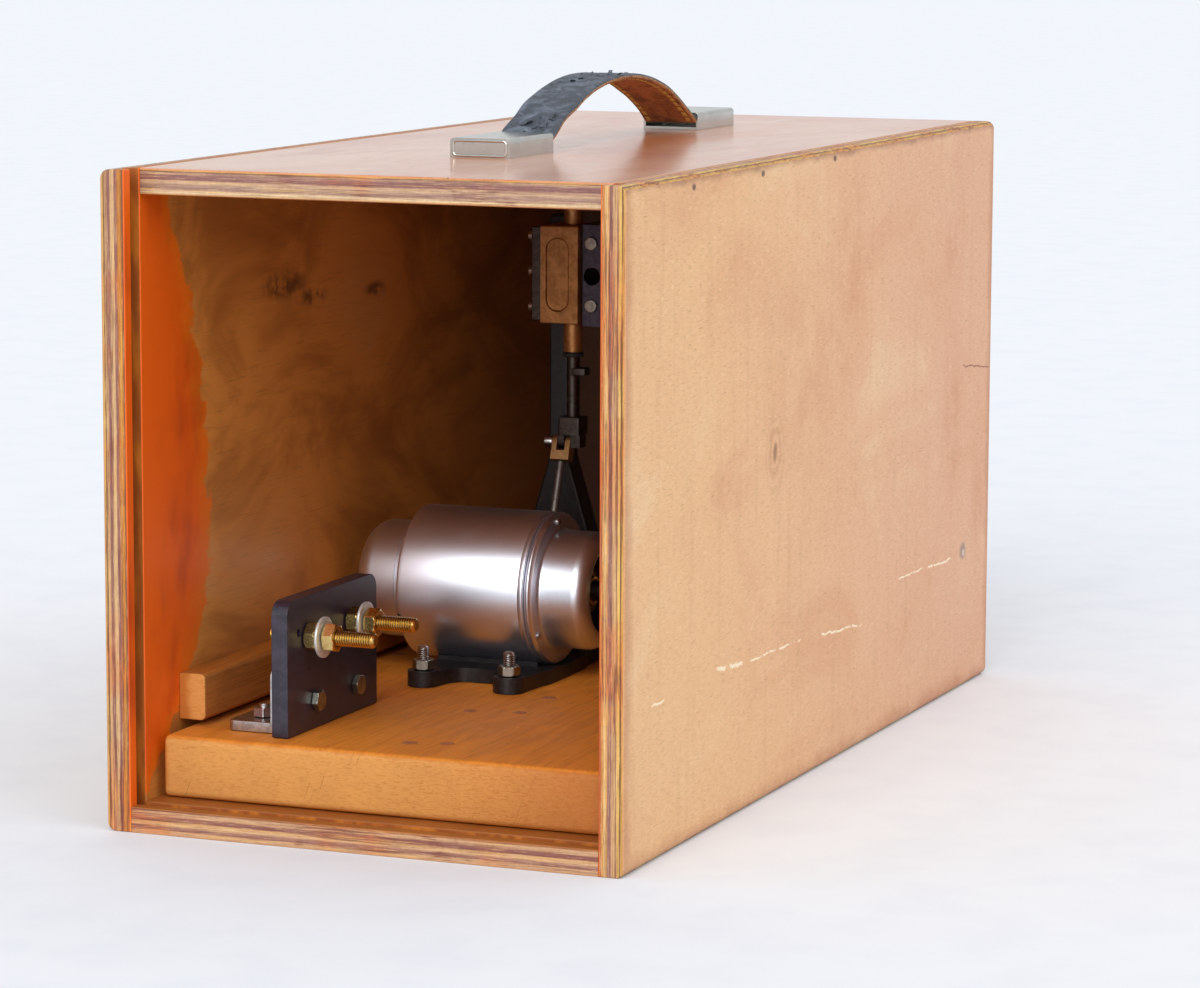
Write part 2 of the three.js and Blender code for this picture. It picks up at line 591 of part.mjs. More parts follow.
function buildCrossShaft(object) {
  const at = groupAt(object, 0, CROSS.y, CROSS.z);
  const { left, right, bushProud } = PEDESTAL;
  place(at, 'shaft_pedestal', pedestal(), blackCasting);
  place(at, 'shaft_bush', ring('x', SHAFT + GAP, BUSH.outer, left - bushProud, right + bushProud), bronze);
  const socket = CRANK.right - CRANK.web;
  place(at, 'cross_shaft', rod('x', SHAFT, socket + GAP, CROSS.right), darkSteel);
  place(at, 'driven_pulley', pulley(LARGE_PULLEY), brass);
  const disc = turned('x', [
    [0, CRANK.left], [CRANK.disc, CRANK.left], [CRANK.disc, CRANK.right], [CRANK.hub, CRANK.right],
    [CRANK.hub, CRANK.hubRight], [SHAFT + GAP, CRANK.hubRight], [SHAFT + GAP, socket], [0, socket]]);
  const pinEnd = ROD.planeX + ROD.thick / 2 + CRANK.pinGap;
  const stub = rod('x', CRANK.pin, pinEnd, CRANK.left + CRANK.pinBite).translate(0, -CRANK.throw, 0);
  place(at, 'crank_disc', join(disc, stub), darkSteel);
  place(groupAt(object, 0, MOTOR.y, MOTOR.z), 'motor_pulley', pulley(SMALL_PULLEY), brass);
}

// ---------- plunger, crosshead and connecting rod ----------

function buildPlunger(object) {
  const at = groupAt(object, PLUNGER.x, PLUNGER.y, 0);
  const stem = rod('z', PLUNGER.radius, CROSSHEAD.top + GAP, PLUNGER.top);
  const dog = box(0, DOG.reach, -DOG.half, DOG.half, DOG.bottom, DOG.top);
  place(at, 'plunger_rod', join(stem, dog), darkSteel);
  const { half, corner: r, bottom, top, cheekBottom, cheekHalf } = CROSSHEAD;
  const block = extrude('z', roundedRectangle(-half, half, -half, half, [r, r, r, r]), bottom, top);
  const plane = ROD.planeX - PLUNGER.x;
  const tongueHalf = FORK.halfSlot - GAP;
  const tongue = new THREE.Shape();
  const { pivotZ } = PLUNGER;
  tongue.moveTo(-FORK.cheek, bottom + BITE);
  tongue.lineTo(-FORK.cheek, pivotZ);
  tongue.absarc(0, pivotZ, FORK.cheek, Math.PI, 2 * Math.PI);
  tongue.lineTo(FORK.cheek, bottom + BITE);
  tongue.holes.push(roundHole(0, pivotZ, PIVOT.pin + GAP));
  const cheekLeft = plane + FORK.halfWidth + GAP;
  const cheek = box(cheekLeft, half - CROSSHEAD.inset, -cheekHalf, cheekHalf, cheekBottom, bottom + BITE);
  place(at, 'crosshead',
    join(block, extrude('x', tongue, plane - tongueHalf, plane + tongueHalf), cheek), darkSteel);
}

// The rod leans from the crosshead pin to the crank pin, so it is built hanging straight and turned.
function buildConnectingRod(object) {
  const reachY = CROSS.y - CRANK.throw - PLUNGER.y;
  const reachZ = CROSS.z - PLUNGER.pivotZ;
  const length = Math.hypot(reachY, reachZ);
  const at = groupAt(object, ROD.planeX, PLUNGER.y, PLUNGER.pivotZ);
  at.rotation.x = Math.atan2(reachY, -reachZ);
  const { halfWidth, halfSlot, cheek, slotFloor, bottom } = FORK;
  const side = new THREE.Shape();
  side.moveTo(-cheek, bottom);
  side.lineTo(cheek, bottom);
  side.lineTo(cheek, 0);
  side.absarc(0, 0, cheek, 0, Math.PI);
  side.lineTo(-cheek, bottom);
  const body = extrude('x', side, -halfWidth, halfWidth);
  const slot = box(-halfSlot, halfSlot, -cheek - PAST, cheek + PAST, slotFloor, cheek + PAST);
  const bore = rod('x', PIVOT.pin + GAP, -halfWidth - PAST, halfWidth + PAST);
  place(at, 'rod_fork', cut(body, slot, bore), bronze);
  const headEnd = PIVOT.left - ROD.planeX;
  const pin = rod('x', PIVOT.pin, headEnd + BITE, halfWidth - PIVOT.inset);
  place(at, 'crosshead_pin', join(pin, rod('x', PIVOT.head, headEnd, -halfWidth - GAP)), zinc);
  const stem = rod('z', ROD.radius, -length + BITE, bottom - GAP);
  const eye = rod('x', ROD.bigEnd, -ROD.thick / 2, ROD.thick / 2).translate(0, 0, -length);
  place(at, 'connecting_rod', join(eye, stem), steel);
}

// ---------- cylinder head and stand ----------

function buildHead(object) {
  const { left, right, front, back, bottom, top } = HEAD;
  const { corner: r } = HEAD_SLOT;
  const slot = roundedRectangle(HEAD_SLOT.x - HEAD_SLOT.half, HEAD_SLOT.x + HEAD_SLOT.half,
    HEAD_SLOT.bottom, HEAD_SLOT.top, [r, r, r, r]);
  place(object, 'head_block', cut(box(left, right, front, back, bottom, top),
    extrude('y', slot, front - PAST, front + HEAD_SLOT.depth),
    rod('z', GLAND.bore, bottom - PAST, top + PAST).translate(PLUNGER.x, PLUNGER.y, 0)), bronze);
  const lp = LEFT_PLATE;
  place(object, 'head_plate_left', box(lp.left, lp.right, lp.front, back, lp.bottom, lp.top), steel);
  const rp = RIGHT_PLATE;
  const { leftCorner, rightCorner, hole } = rp;
  const face = roundedRectangle(rp.left, rp.right, rp.bottom, rp.top,
    [leftCorner, rightCorner, rightCorner, leftCorner]);
  face.holes.push(roundHole(hole.x, hole.z, hole.radius));
  for (const z of HEAD_SCREWS.z) {
    face.holes.push(roundHole(hole.x, z, HEAD_SCREWS.shank + GAP));
  }
  place(object, 'head_plate_right', extrude('y', face, rp.front, back), steel);
  HEAD_SCREWS.z.forEach((z, i) => {
    const at = groupAt(object, hole.x, rp.front - GAP, z);
    const { head, headThick, shank, length } = HEAD_SCREWS;
    const stem = rod('y', shank, -headThick / 2, length);
    place(at, `head_screw_${i + 1}`, join(rod('y', head, -headThick, 0), stem), zinc);
  });
  const at = groupAt(object, PLUNGER.x, PLUNGER.y, 0);
  place(at, 'gland_tube', ring('z', GLAND.bore, GLAND.outer, GLAND.bottom, GLAND.top), brass);
  place(at, 'gland_ring',
    ring('z', GLAND.bore, GLAND_RING.outer, GLAND_RING.bottom, GLAND_RING.top), rubber);
  place(at, 'top_tube', ring('z', TOP_TUBE.bore, TOP_TUBE.outer, TOP_TUBE.bottom, TOP_TUBE.top), brass);
}

// An A-shaped casting whose narrow mast rises behind the cylinder head.
function buildStand(object) {
  const { x, front, thick, footTop, footOut, footIn, mastHalf, shoulder, top, spread } = STAND;
  const footHalf = mastHalf + spread * (shoulder - BOARD.top);
  const z0 = BOARD.top + GAP;
  const right = [[footHalf + footOut, z0], [footHalf + footOut, footTop], [footHalf - footIn, footTop],
    [mastHalf, shoulder], [mastHalf, top]];
  const left = right.map(([dx, z]) => [-dx, z]).reverse();
  const outline = new THREE.Shape([...right, ...left].map(([dx, z]) => new THREE.Vector2(x + dx, z)));
  place(object, 'stand_casting', extrude('y', outline, front, front + thick), blackCasting);
}

// ---------- assembly ----------

const object = new THREE.Group();
buildCase(object);
buildHandle(object);
buildBoard(object);
buildAngle(object);
buildTerminalPlate(object);
TERMINALS.y.forEach((y, i) => buildTerminal(object, i + 1, y));
buildMotor(object);
buildMotorFoot(object);
buildBelt(object);
buildCrossShaft(object);
buildPlunger(object);
buildConnectingRod(object);
buildHead(object);
buildStand(object);

export default object;
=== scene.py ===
"""A motor-driven plunger instrument in a plywood carrying case: its visible pieces, finishes and studio."""

import json
import logging
import math
from dataclasses import dataclass, field
from enum import Enum

import bmesh
import bpy
import numpy as np
from mathutils import Matrix, Vector

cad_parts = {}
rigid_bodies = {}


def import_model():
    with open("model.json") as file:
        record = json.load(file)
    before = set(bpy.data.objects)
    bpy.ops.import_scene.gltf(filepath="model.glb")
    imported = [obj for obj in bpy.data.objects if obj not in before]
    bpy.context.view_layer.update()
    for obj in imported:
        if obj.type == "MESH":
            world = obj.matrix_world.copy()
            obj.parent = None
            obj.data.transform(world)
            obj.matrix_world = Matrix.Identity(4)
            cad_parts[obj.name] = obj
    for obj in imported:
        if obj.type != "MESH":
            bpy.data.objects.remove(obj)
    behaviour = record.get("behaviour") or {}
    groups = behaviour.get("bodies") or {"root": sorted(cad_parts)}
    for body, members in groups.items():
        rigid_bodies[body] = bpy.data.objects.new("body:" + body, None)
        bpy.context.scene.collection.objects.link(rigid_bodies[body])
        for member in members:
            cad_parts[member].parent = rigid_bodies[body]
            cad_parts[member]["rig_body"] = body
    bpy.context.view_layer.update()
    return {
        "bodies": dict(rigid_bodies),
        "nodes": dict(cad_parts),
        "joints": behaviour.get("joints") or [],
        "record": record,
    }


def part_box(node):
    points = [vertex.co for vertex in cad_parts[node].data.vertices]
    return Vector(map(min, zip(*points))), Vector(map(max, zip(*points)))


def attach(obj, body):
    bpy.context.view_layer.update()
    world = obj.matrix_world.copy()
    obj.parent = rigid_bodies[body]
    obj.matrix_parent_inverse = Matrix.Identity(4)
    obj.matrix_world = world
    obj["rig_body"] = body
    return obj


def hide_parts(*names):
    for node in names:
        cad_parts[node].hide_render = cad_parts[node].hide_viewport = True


LOG = logging.getLogger("plunger_case")
MM = 0.001
SHARP = math.radians(34)  # the least angle that counts as an edge
FLAT = math.radians(0.4)  # the most that joined flat faces lean
Array = np.ndarray
Triple = tuple[float, float, float]
Pair = tuple[float, float]
Outline = list[Pair]


# ---------------------------------------------------------------- shader maths


def srgb(code: str) -> Triple:
    """Turns a hex colour into linear red, green and blue.

    Args:
        code: six hex digits.

    Returns:
        The three linear values, by the power law with a straight foot.
    """
    parts = [int(code[i : i + 2], 16) / 255 for i in (0, 2, 4)]
    return tuple(c / 12.92 if c <= 0.04045 else ((c + 0.055) / 1.055) ** 2.4 for c in parts)


@dataclass(frozen=True)
class Value:
    """A number that varies over the surface: a socket with the arithmetic of numbers."""

    graph: "Graph"
    socket: bpy.types.NodeSocket

    def _math(self, operation: str, first: object, second: object = 0.0) -> "Value":
        """One Math node."""
        made = self.graph.node("ShaderNodeMath", {"operation": operation}, {0: first, 1: second})
        return Value(self.graph, made.outputs[0])

    def __add__(self, other: object) -> "Value":
        """Sum."""
        return self._math("ADD", self, other)

    def __sub__(self, other: object) -> "Value":
        """Difference."""
        return self._math("SUBTRACT", self, other)

    def __rsub__(self, other: object) -> "Value":
        """Difference from a number."""
        return self._math("SUBTRACT", other, self)

    def __mul__(self, other: object) -> "Value":
        """Product."""
        return self._math("MULTIPLY", self, other)

    def __truediv__(self, other: object) -> "Value":
        """Quotient."""
        return self._math("DIVIDE", self, other)

    __radd__ = __add__
    __rmul__ = __mul__

    def power(self, exponent: float) -> "Value":
        """Power."""
        return self._math("POWER", self, exponent)

    def least(self, other: object) -> "Value":
        """The smaller of two."""
        return self._math("MINIMUM", self, other)

    def most(self, other: object) -> "Value":
        """The larger of two."""
        return self._math("MAXIMUM", self, other)

    def size(self) -> "Value":
        """Absolute value."""
        return self._math("ABSOLUTE", self)

    def sine(self) -> "Value":
        """Sine."""
        return self._math("SINE", self)

    def step(self, low: float, high: float) -> "Value":
        """A smooth step from 0 at low to 1 at high; low may be the larger.

        Args:
            low: input that gives 0.
            high: input that gives 1.

        Returns:
            The stepped value.
        """
        if low > high:
            return 1 - self.step(high, low)
        made = self.graph.node(
            "ShaderNodeMapRange",
            {"interpolation_type": "SMOOTHSTEP"},
            {"Value": self, "From Min": low, "From Max": high},
        )
        return Value(self.graph, made.outputs[0])


@dataclass(frozen=True)
class Tint:
    """A colour that varies over the surface."""

    graph: "Graph"
    socket: bpy.types.NodeSocket

    def blend(self, other: object, mask: object) -> "Tint":
        """Mixes another colour in.

        Args:
            other: the colour or tint that comes in.
            mask: how much of it, 0 to 1.

        Returns:
            The mixed tint.
        """
        made = self.graph.node(
            "ShaderNodeMix",
            {"data_type": "RGBA", "clamp_factor": True},
            {0: mask, 6: self, 7: other},
        )
        return Tint(self.graph, made.outputs[2])

    def shade(self, level: object) -> "Tint":
        """Scales the colour by a number or value."""
        made = self.graph.node("ShaderNodeVectorMath", {"operation": "SCALE"}, {0: self, 3: level})
        return Tint(self.graph, made.outputs[0])


class Graph:
    """A material's node tree, with one Principled surface at its end."""

    def __init__(self, name: str) -> None:
        """Starts an empty tree.

        Args:
            name: the material's name.
        """
        self.material = bpy.data.materials.new(name)
        self.material.use_nodes = True
        self.tree = self.material.node_tree
        self.tree.nodes.clear()
        self.surface = self.node("ShaderNodeBsdfPrincipled")
        self.node("ShaderNodeOutputMaterial", {}, {"Surface": self.surface.outputs[0]})
        coords = self.node("ShaderNodeTexCoord")
        at = coords.outputs["Object"]
        self.place = self.node("ShaderNodeVectorMath", {"operation": "SCALE"}, {0: at, 3: 1 / MM}).outputs[0]
        split = self.node("ShaderNodeSeparateXYZ", {}, {0: self.place})
        self.x, self.y, self.z = (Value(self, split.outputs[i]) for i in range(3))

    def node(self, kind: str, settings: dict | None = None, sockets: dict | None = None) -> bpy.types.Node:
        """Adds any node.

        Args:
            kind: the node's type.
            settings: properties set first; "stops" fills a colour ramp.
            sockets: input names or numbers, with values, tints, links or plain numbers.

        Returns:
            The node.
        """
        made = self.tree.nodes.new(kind)
        for key, value in (settings or {}).items():
            if key == "stops":
                self._fill(made.color_ramp, value)
            else:
                setattr(made, key, value)
        for key, value in (sockets or {}).items():
            self.feed(made.inputs[key], value)
        return made

    @staticmethod
    def _fill(ramp: bpy.types.ColorRamp, stops: list[tuple[float, Triple]]) -> None:
        """Gives a ramp its stops, the first and last in the two that exist."""
        while len(ramp.elements) < len(stops):
            ramp.elements.new(0.5)
        for element, (place, colour) in zip(ramp.elements, stops):
            element.position = place
            element.color = (*colour, 1)

    def feed(self, socket: bpy.types.NodeSocket, given: object) -> None:
        """Links or sets one input.

        Args:
            socket: the input.
            given: a Value, Tint, socket, number or tuple.
        """
        if isinstance(given, (Value, Tint)):
            self.tree.links.new(given.socket, socket)
        elif isinstance(given, bpy.types.NodeSocket):
            self.tree.links.new(given, socket)
        elif socket.type == "RGBA" and len(given) == 3:
            socket.default_value = (*given, 1)
        else:
            socket.default_value = given

    def colour(self, value: Triple) -> Tint:
        """A plain colour to start mixing from."""
        made = self.node("ShaderNodeMix", {"data_type": "RGBA"}, {0: 0.0, 6: value, 7: value})
        return Tint(self, made.outputs[2])

    def noise(
        self,
        per_mm: Triple | float,
        detail: float = 2.0,
        rough: float = 0.5,
        bend: float = 0.0,
        shift: Triple = (0.0, 0.0, 0.0),
    ) -> Value:
        """Noise with its own frequency along each axis.

        Args:
            per_mm: cycles per millimetre along x, y and z, or one number for all.
            detail: octaves.
            rough: weight of each next octave.
            bend: distortion.
            shift: where in the noise this pattern starts.

        Returns:
            Values around 0.5.
        """
        rate = per_mm if isinstance(per_mm, tuple) else (per_mm, per_mm, per_mm)
        moved = self.node(
            "ShaderNodeMapping",
            {"vector_type": "POINT"},
            {"Vector": self.place, "Scale": rate, "Location": shift},
        )
        made = self.node(
            "ShaderNodeTexNoise",
            {},
            {"Vector": moved.outputs[0], "Scale": 1.0, "Detail": detail, "Roughness": rough, "Distortion": bend},
        )
        return Value(self, made.outputs[0])

    def ramp(self, where: Value, stops: list[tuple[float, Triple]]) -> Tint:
        """A colour ramp over a value from 0 to 1."""
        made = self.node("ShaderNodeValToRGB", {"stops": stops}, {0: where})
        return Tint(self, made.outputs[0])

    def oval(self, a: Value, b: Value, centre: Pair, half: Pair, soft: float) -> Value:
        """A soft-edged ellipse in the plane of two coordinates.

        Args:
            a: first coordinate, mm.
            b: second coordinate, mm.
            centre: its middle.
            half: its half axes.
            soft: width of the edge, as a share of the half axes.

        Returns:
            1 inside and 0 outside.
        """
        p, q = (a - centre[0]) / half[0], (b - centre[1]) / half[1]
        return (p * p + q * q).power(0.5).step(1 + soft, 1 - soft)

    def stroke(self, a: Value, b: Value, start: Pair, end: Pair, width: float, wander: Value) -> Value:
        """A scratch: the distance to a straight segment, made to wander and kept under a width.

        Args:
            a: first coordinate, mm.
            b: second coordinate, mm.
            start: one end.
            end: the other end.
            width: half width, mm.
            wander: sideways movement, mm.

        Returns:
            1 on the scratch and 0 off it.
        """
        run = (end[0] - start[0], end[1] - start[1])
        length = math.hypot(*run)
        u, v = run[0] / length, run[1] / length
        along = (a - start[0]) * u + (b - start[1]) * v
        across = ((b - start[1]) * u - (a - start[0]) * v + wander).size()
        ends = along.step(0, 4) * along.step(length, length - 4)
        return across.step(width, width * 0.4) * ends

    def bump(self, height: Value, distance_mm: float, strength: float = 1.0) -> bpy.types.NodeSocket:
        """A Bump node.

        Args:
            height: height from 0 to 1.
            distance_mm: how far 1 stands up.
            strength: how much of it shows.

        Returns:
            The normal's socket.
        """
        sockets = {"Height": height, "Distance": distance_mm * MM, "Strength": strength}
        return self.node("ShaderNodeBump", {}, sockets).outputs[0]

    def attribute(self, name: str) -> Value:
        """A number that the piece's mesh carries; 0 where it has none."""
        made = self.node("ShaderNodeAttribute", {"attribute_name": name})
        return Value(self, made.outputs["Fac"])

    def finish(self, **sockets: object) -> bpy.types.Material:
        """Feeds the surface.

        Args:
            sockets: Principled inputs, with underscores for spaces.

        Returns:
            The material.
        """
        for key, value in sockets.items():
            self.feed(self.surface.inputs[key.replace("_", " ")], value)
        return self.material


# ---------------------------------------------------------------- finishes


class Ply(Enum):
    """Which panel of the case a plywood finish is for."""

    RIGHT = "right"
    LEFT = "left"
    TOP = "top"
    BOTTOM = "bottom"
    BACK = "back"


@dataclass(frozen=True)
class PlywoodFinish:
    """Varnished birch plywood: a veneer on each face, layers on the edges, marks of long use."""

    panel: Ply
    outer_mm: float
    ply_mm: float = 10.0
    case_depth: float = 444.0
    case_top: float = 250.0
    groove_y: float = -213.2
    groove_half: Pair = (4.2, 3.7)
    groove_depth: Pair = (4.6, 5.0)

    @property
    def name(self) -> str:
        """The material's name."""
        return f"plywood_{self.panel.value}"

    def depth(self, g: Graph) -> Value:
        """Distance below the outer face, in mm."""
        along = {Ply.RIGHT: g.x, Ply.LEFT: g.x, Ply.TOP: g.z, Ply.BOTTOM: g.z, Ply.BACK: g.y}[self.panel]
        return (along - self.outer_mm).size()

    def layers(self, g: Graph, depth: Value) -> Tint:
        """The edge: layers by depth, waving a little, streaked and stained along the edge."""
        upright = self.panel in (Ply.RIGHT, Ply.LEFT)
        rate = (0.9, 0.25, 0.012) if upright else (0.012, 0.25, 0.9)
        wave = g.noise(rate, 3, 0.6, 0.0, (3.0, 1.0, 7.0))
        where = depth / self.ply_mm + (wave - 0.5) * 0.10
        tint_by_depth = {
            Ply.LEFT: (
                (0.00, "C49A72"), (0.08, "D2A24E"), (0.15, "5A3018"), (0.18, "BF9262"), (0.27, "B98A60"),
                (0.30, "85524A"), (0.39, "8C5A50"), (0.42, "C59C6C"), (0.56, "CBA271"), (0.59, "8A5650"),
                (0.68, "90584A"), (0.71, "B26A1C"), (0.84, "C07A1E"), (0.93, "6A3210"), (0.97, "B8641A"),
            ),
            Ply.RIGHT: (
                (0.00, "BE6A34"), (0.08, "D6A04A"), (0.17, "52300F"), (0.20, "DBAE52"), (0.30, "D0A060"),
                (0.33, "7E4C40"), (0.37, "C69A66"), (0.50, "B98A62"), (0.53, "86564C"), (0.64, "946456"),
                (0.67, "C98A4A"), (0.76, "D6AE72"), (0.84, "C58238"), (0.93, "A85624"), (0.98, "B4622A"),
            ),
            Ply.TOP: (
                (0.00, "C98A3C"), (0.06, "DAA045"), (0.11, "6E3A22"), (0.15, "B08A6C"), (0.24, "8A5850"),
                (0.40, "7C4A44"), (0.44, "B08466"), (0.52, "C6A07A"), (0.62, "A5806A"), (0.70, "8F6A5C"),
                (0.80, "BC9472"), (0.88, "D9BC92"), (0.95, "C9955A"),
            ),
            Ply.BOTTOM: (
                (0.00, "8A5A48"), (0.08, "B98E6C"), (0.20, "C29468"), (0.24, "8E5C50"), (0.36, "A87A62"),
                (0.42, "CDA274"), (0.54, "C0905E"), (0.58, "7E4840"), (0.70, "8A5448"), (0.74, "B98A66"),
                (0.88, "C69A72"), (0.94, "9A6038"), (0.98, "C07A34"),
            ),
            Ply.BACK: ((0.00, "C49A72"), (0.30, "85524A"), (0.60, "C59C6C"), (0.90, "8A5650")),
        }  # fmt: skip
        stops = [(place, srgb(code)) for place, code in tint_by_depth[self.panel]]
        tint = g.ramp(where, stops)
        streak = g.noise((3.2, 0.6, 0.10) if upright else (0.10, 0.6, 3.2), 4, 0.7, 0.0, (11.0, 4.0, 2.0))
        tint = tint.blend(srgb("5E3424"), streak.step(0.52, 0.68) * 0.60)
        tint = tint.blend(srgb("E3C293"), streak.step(0.46, 0.34) * 0.50)
        stain = g.noise((0.05, 0.05, 0.05), 3, 0.6, 0.4, (5.0, 9.0, 1.0))
        red = srgb("6E1F10")
        tint = tint.blend(red, stain.step(0.56, 0.70) * streak.step(0.46, 0.58) * 0.7)
        soaked = g.noise((0.018, 0.05, 0.018), 3, 0.6, 0.0, (8.0, 2.0, 6.0))
        tint = tint.blend(srgb("CC6A14"), soaked.step(0.47, 0.60) * streak.step(0.62, 0.44) * 0.55)
        rot = g.noise((1.1, 0.25, 0.022) if upright else (0.022, 0.25, 1.1), 4, 0.72, 0.0, (6.0, 1.0, 9.0))
        tint = tint.blend(srgb("5A1E10"), rot.step(0.50, 0.60) * (0.3 + soaked.step(0.44, 0.56) * 0.45))
        tint = tint.blend(srgb("F0C05A"), rot.step(0.42, 0.35) * 0.35)
        grime = g.noise((0.5, 0.5, 0.5), 4, 0.7, 0.0, (1.0, 2.0, 3.0))
        return tint.shade(0.74 + grime * 0.5)

    def outer(self, g: Graph) -> Tint:
        """The outside veneer."""
        if self.panel is Ply.TOP:
            return self._top(g)
        a, b = (g.x, g.z) if self.panel is Ply.BACK else (g.y, g.z)
        if self.panel is Ply.BOTTOM:
            a, b = g.y, g.x
        honey, pink, glow = srgb("E0B07C"), srgb("D6A27E"), srgb("CE9064")
        tint = g.colour(honey).blend(pink, (a / self.case_depth + 0.5).step(0.05, 0.95))
        cloud = g.noise((0.011, 0.008, 0.014), 4, 0.62, 0.9, (2.0, 5.0, 8.0))
        tint = tint.blend(glow, cloud.step(0.50, 0.74) * 0.55)
        tint = tint.blend(srgb("E8CCA0"), cloud.step(0.46, 0.30) * 0.35)
        for centre, half, share in (
            ((-20.0, 166.0), (52.0, 34.0), 0.30), ((24.0, 206.0), (20.0, 34.0), 0.34),
            ((164.0, 206.0), (13.0, 34.0), 0.42), ((166.0, 124.0), (11.0, 30.0), 0.45),
            ((206.0, 84.0), (9.0, 26.0), 0.40), ((60.0, 110.0), (60.0, 22.0), 0.16),
        ):  # fmt: skip
            ragged = g.noise((0.04, 0.05, 0.04), 3, 0.6, 0.0, (centre[0], centre[1], 0.0))
            tint = tint.blend(srgb("C47E54"), g.oval(a, b, centre, half, 0.75) * ragged.step(0.30, 0.62) * share)
        ray = g.noise((0.05, 0.14, 0.012), 4, 0.65, 0.0, (7.0, 1.0, 4.0))
        tint = tint.blend(srgb("BE8C5A"), ray.step(0.50, 0.80) * 0.30)
        fibre = g.noise((0.3, 0.32, 1.1), 4, 0.7, 0.6, (3.0, 7.0, 2.0))
        tint = tint.blend(srgb("B98454"), fibre.step(0.50, 0.72) * 0.34)
        tint = tint.blend(srgb("F0D6AC"), fibre.step(0.46, 0.30) * 0.30)
        pores = g.noise((0.2, 0.16, 2.2), 3, 0.65, 0.0, (1.0, 6.0, 2.0))
        tint = tint.blend(srgb("8F5E34"), pores.step(0.56, 0.72) * 0.55)
        rub = (g.noise((0.04, 0.04, 0.04), 4, 0.7, 0.0, (9.0, 2.0, 2.0)) - 0.5) * 14
        rim = ((a.size() - self.case_depth / 2).size() + rub).most(0.0).least((b + rub).most(0.0))
        return tint.blend(srgb("A0582A"), rim.step(9.0, 0.5) * 0.45)

    def _marks(self, g: Graph, tint: Tint) -> Tint:
        """The right side's knot, scratches, crack, dent, nails and dark top edge."""
        a, b = g.y, g.z
        wander = (g.noise(0.09, 4, 0.7) - 0.5) * 7
        p, q = (a + 64) / 9, (b - 135) / 15
        ring = (p * p + q * q).power(0.5) + (g.noise(0.09, 2, 0.5) - 0.5) * 0.9
        bands = (ring * 13).sine() * 0.5 + 0.5
        tint = tint.blend(srgb("A5683C"), ring.step(1.6, 0.4) * bands * 0.34)
        tint = tint.blend(srgb("6E3C20"), ring.step(0.34, 0.08) * 0.6)
        pale = srgb("F6E6C6")
        for start, end, width in (
            ((-129.0, 61.0), (-96.0, 58.0), 1.5), ((-92.0, 58.0), (-30.0, 57.0), 0.8),
            ((-8.0, 55.0), (46.0, 50.5), 0.9), ((92.0, 63.0), (128.0, 62.0), 0.8),
            ((132.0, 62.0), (168.0, 60.5), 0.9), ((-197.0, 58.5), (-180.0, 59.0), 0.9),
        ):  # fmt: skip
            broken = g.noise(0.13, 3, 0.7, 0.0, (start[0], 0.0, 0.0)).step(0.36, 0.46)
            tint = tint.blend(pale, g.stroke(a, b, start, end, width * 0.7, wander * 0.6) * broken * 0.85)
        crack = g.stroke(a, b, (179.0, 145.0), (221.5, 139.5), 0.45, wander * 0.5)
        tint = tint.blend(srgb("7A3A20"), crack * 0.8)
        dent = g.oval(a, b, (184.0, 61.8), (4.2, 3.6), 0.35)
        tint = tint.blend(srgb("85706A"), dent * 0.7)
        tint = tint.blend(srgb("CDB6A2"), g.oval(a, b, (185.2, 60.8), (1.8, 1.5), 0.4) * 0.9)
        for where in ((-155.0, 245.3), (-80.5, 245.6), (4.0, 246.4)):
            tint = tint.blend(srgb("3C2416"), g.oval(a, b, where, (1.9, 1.2), 0.4) * 0.85)
        worn = (b - self.case_top).size() + (g.noise((0.03, 0.05, 0.03), 4, 0.7) - 0.5) * 5
        return tint.blend(srgb("7A4A2E"), worn.step(4.5, 0.6) * 0.7)

    @staticmethod
    def _top(g: Graph) -> Tint:
        """The top: reddish varnish, worn paler and specked with crumbs."""
        cloud = g.noise((0.012, 0.006, 0.012), 4, 0.6, 0.8, (4.0, 2.0, 1.0))
        tint = g.colour(srgb("CC8050")).blend(srgb("DCA27A"), cloud.step(0.40, 0.72))
        tint = tint.blend(srgb("B04E22"), cloud.step(0.46, 0.30) * 0.7)
        streak = g.noise((0.04, 0.008, 0.04), 4, 0.7, 0.6, (2.0, 2.0, 6.0))
        tint = tint.blend(srgb("A84A1E"), streak.step(0.52, 0.70) * 0.6)
        tint = tint.blend(srgb("D26A1E"), g.oval(g.x, g.y, (28.0, 60.0), (16.0, 40.0), 0.9) * 0.5)
        pores = g.noise((2.2, 0.08, 0.1), 2, 0.6)
        tint = tint.blend(srgb("5E2A14"), pores.step(0.57, 0.72) * 0.5)
        crumb = g.noise((0.21, 0.19, 0.2), 2, 0.5, 0.0, (8.0, 3.0, 0.0))
        return tint.blend(srgb("2C1A14"), crumb.step(0.735, 0.76) * 0.85)

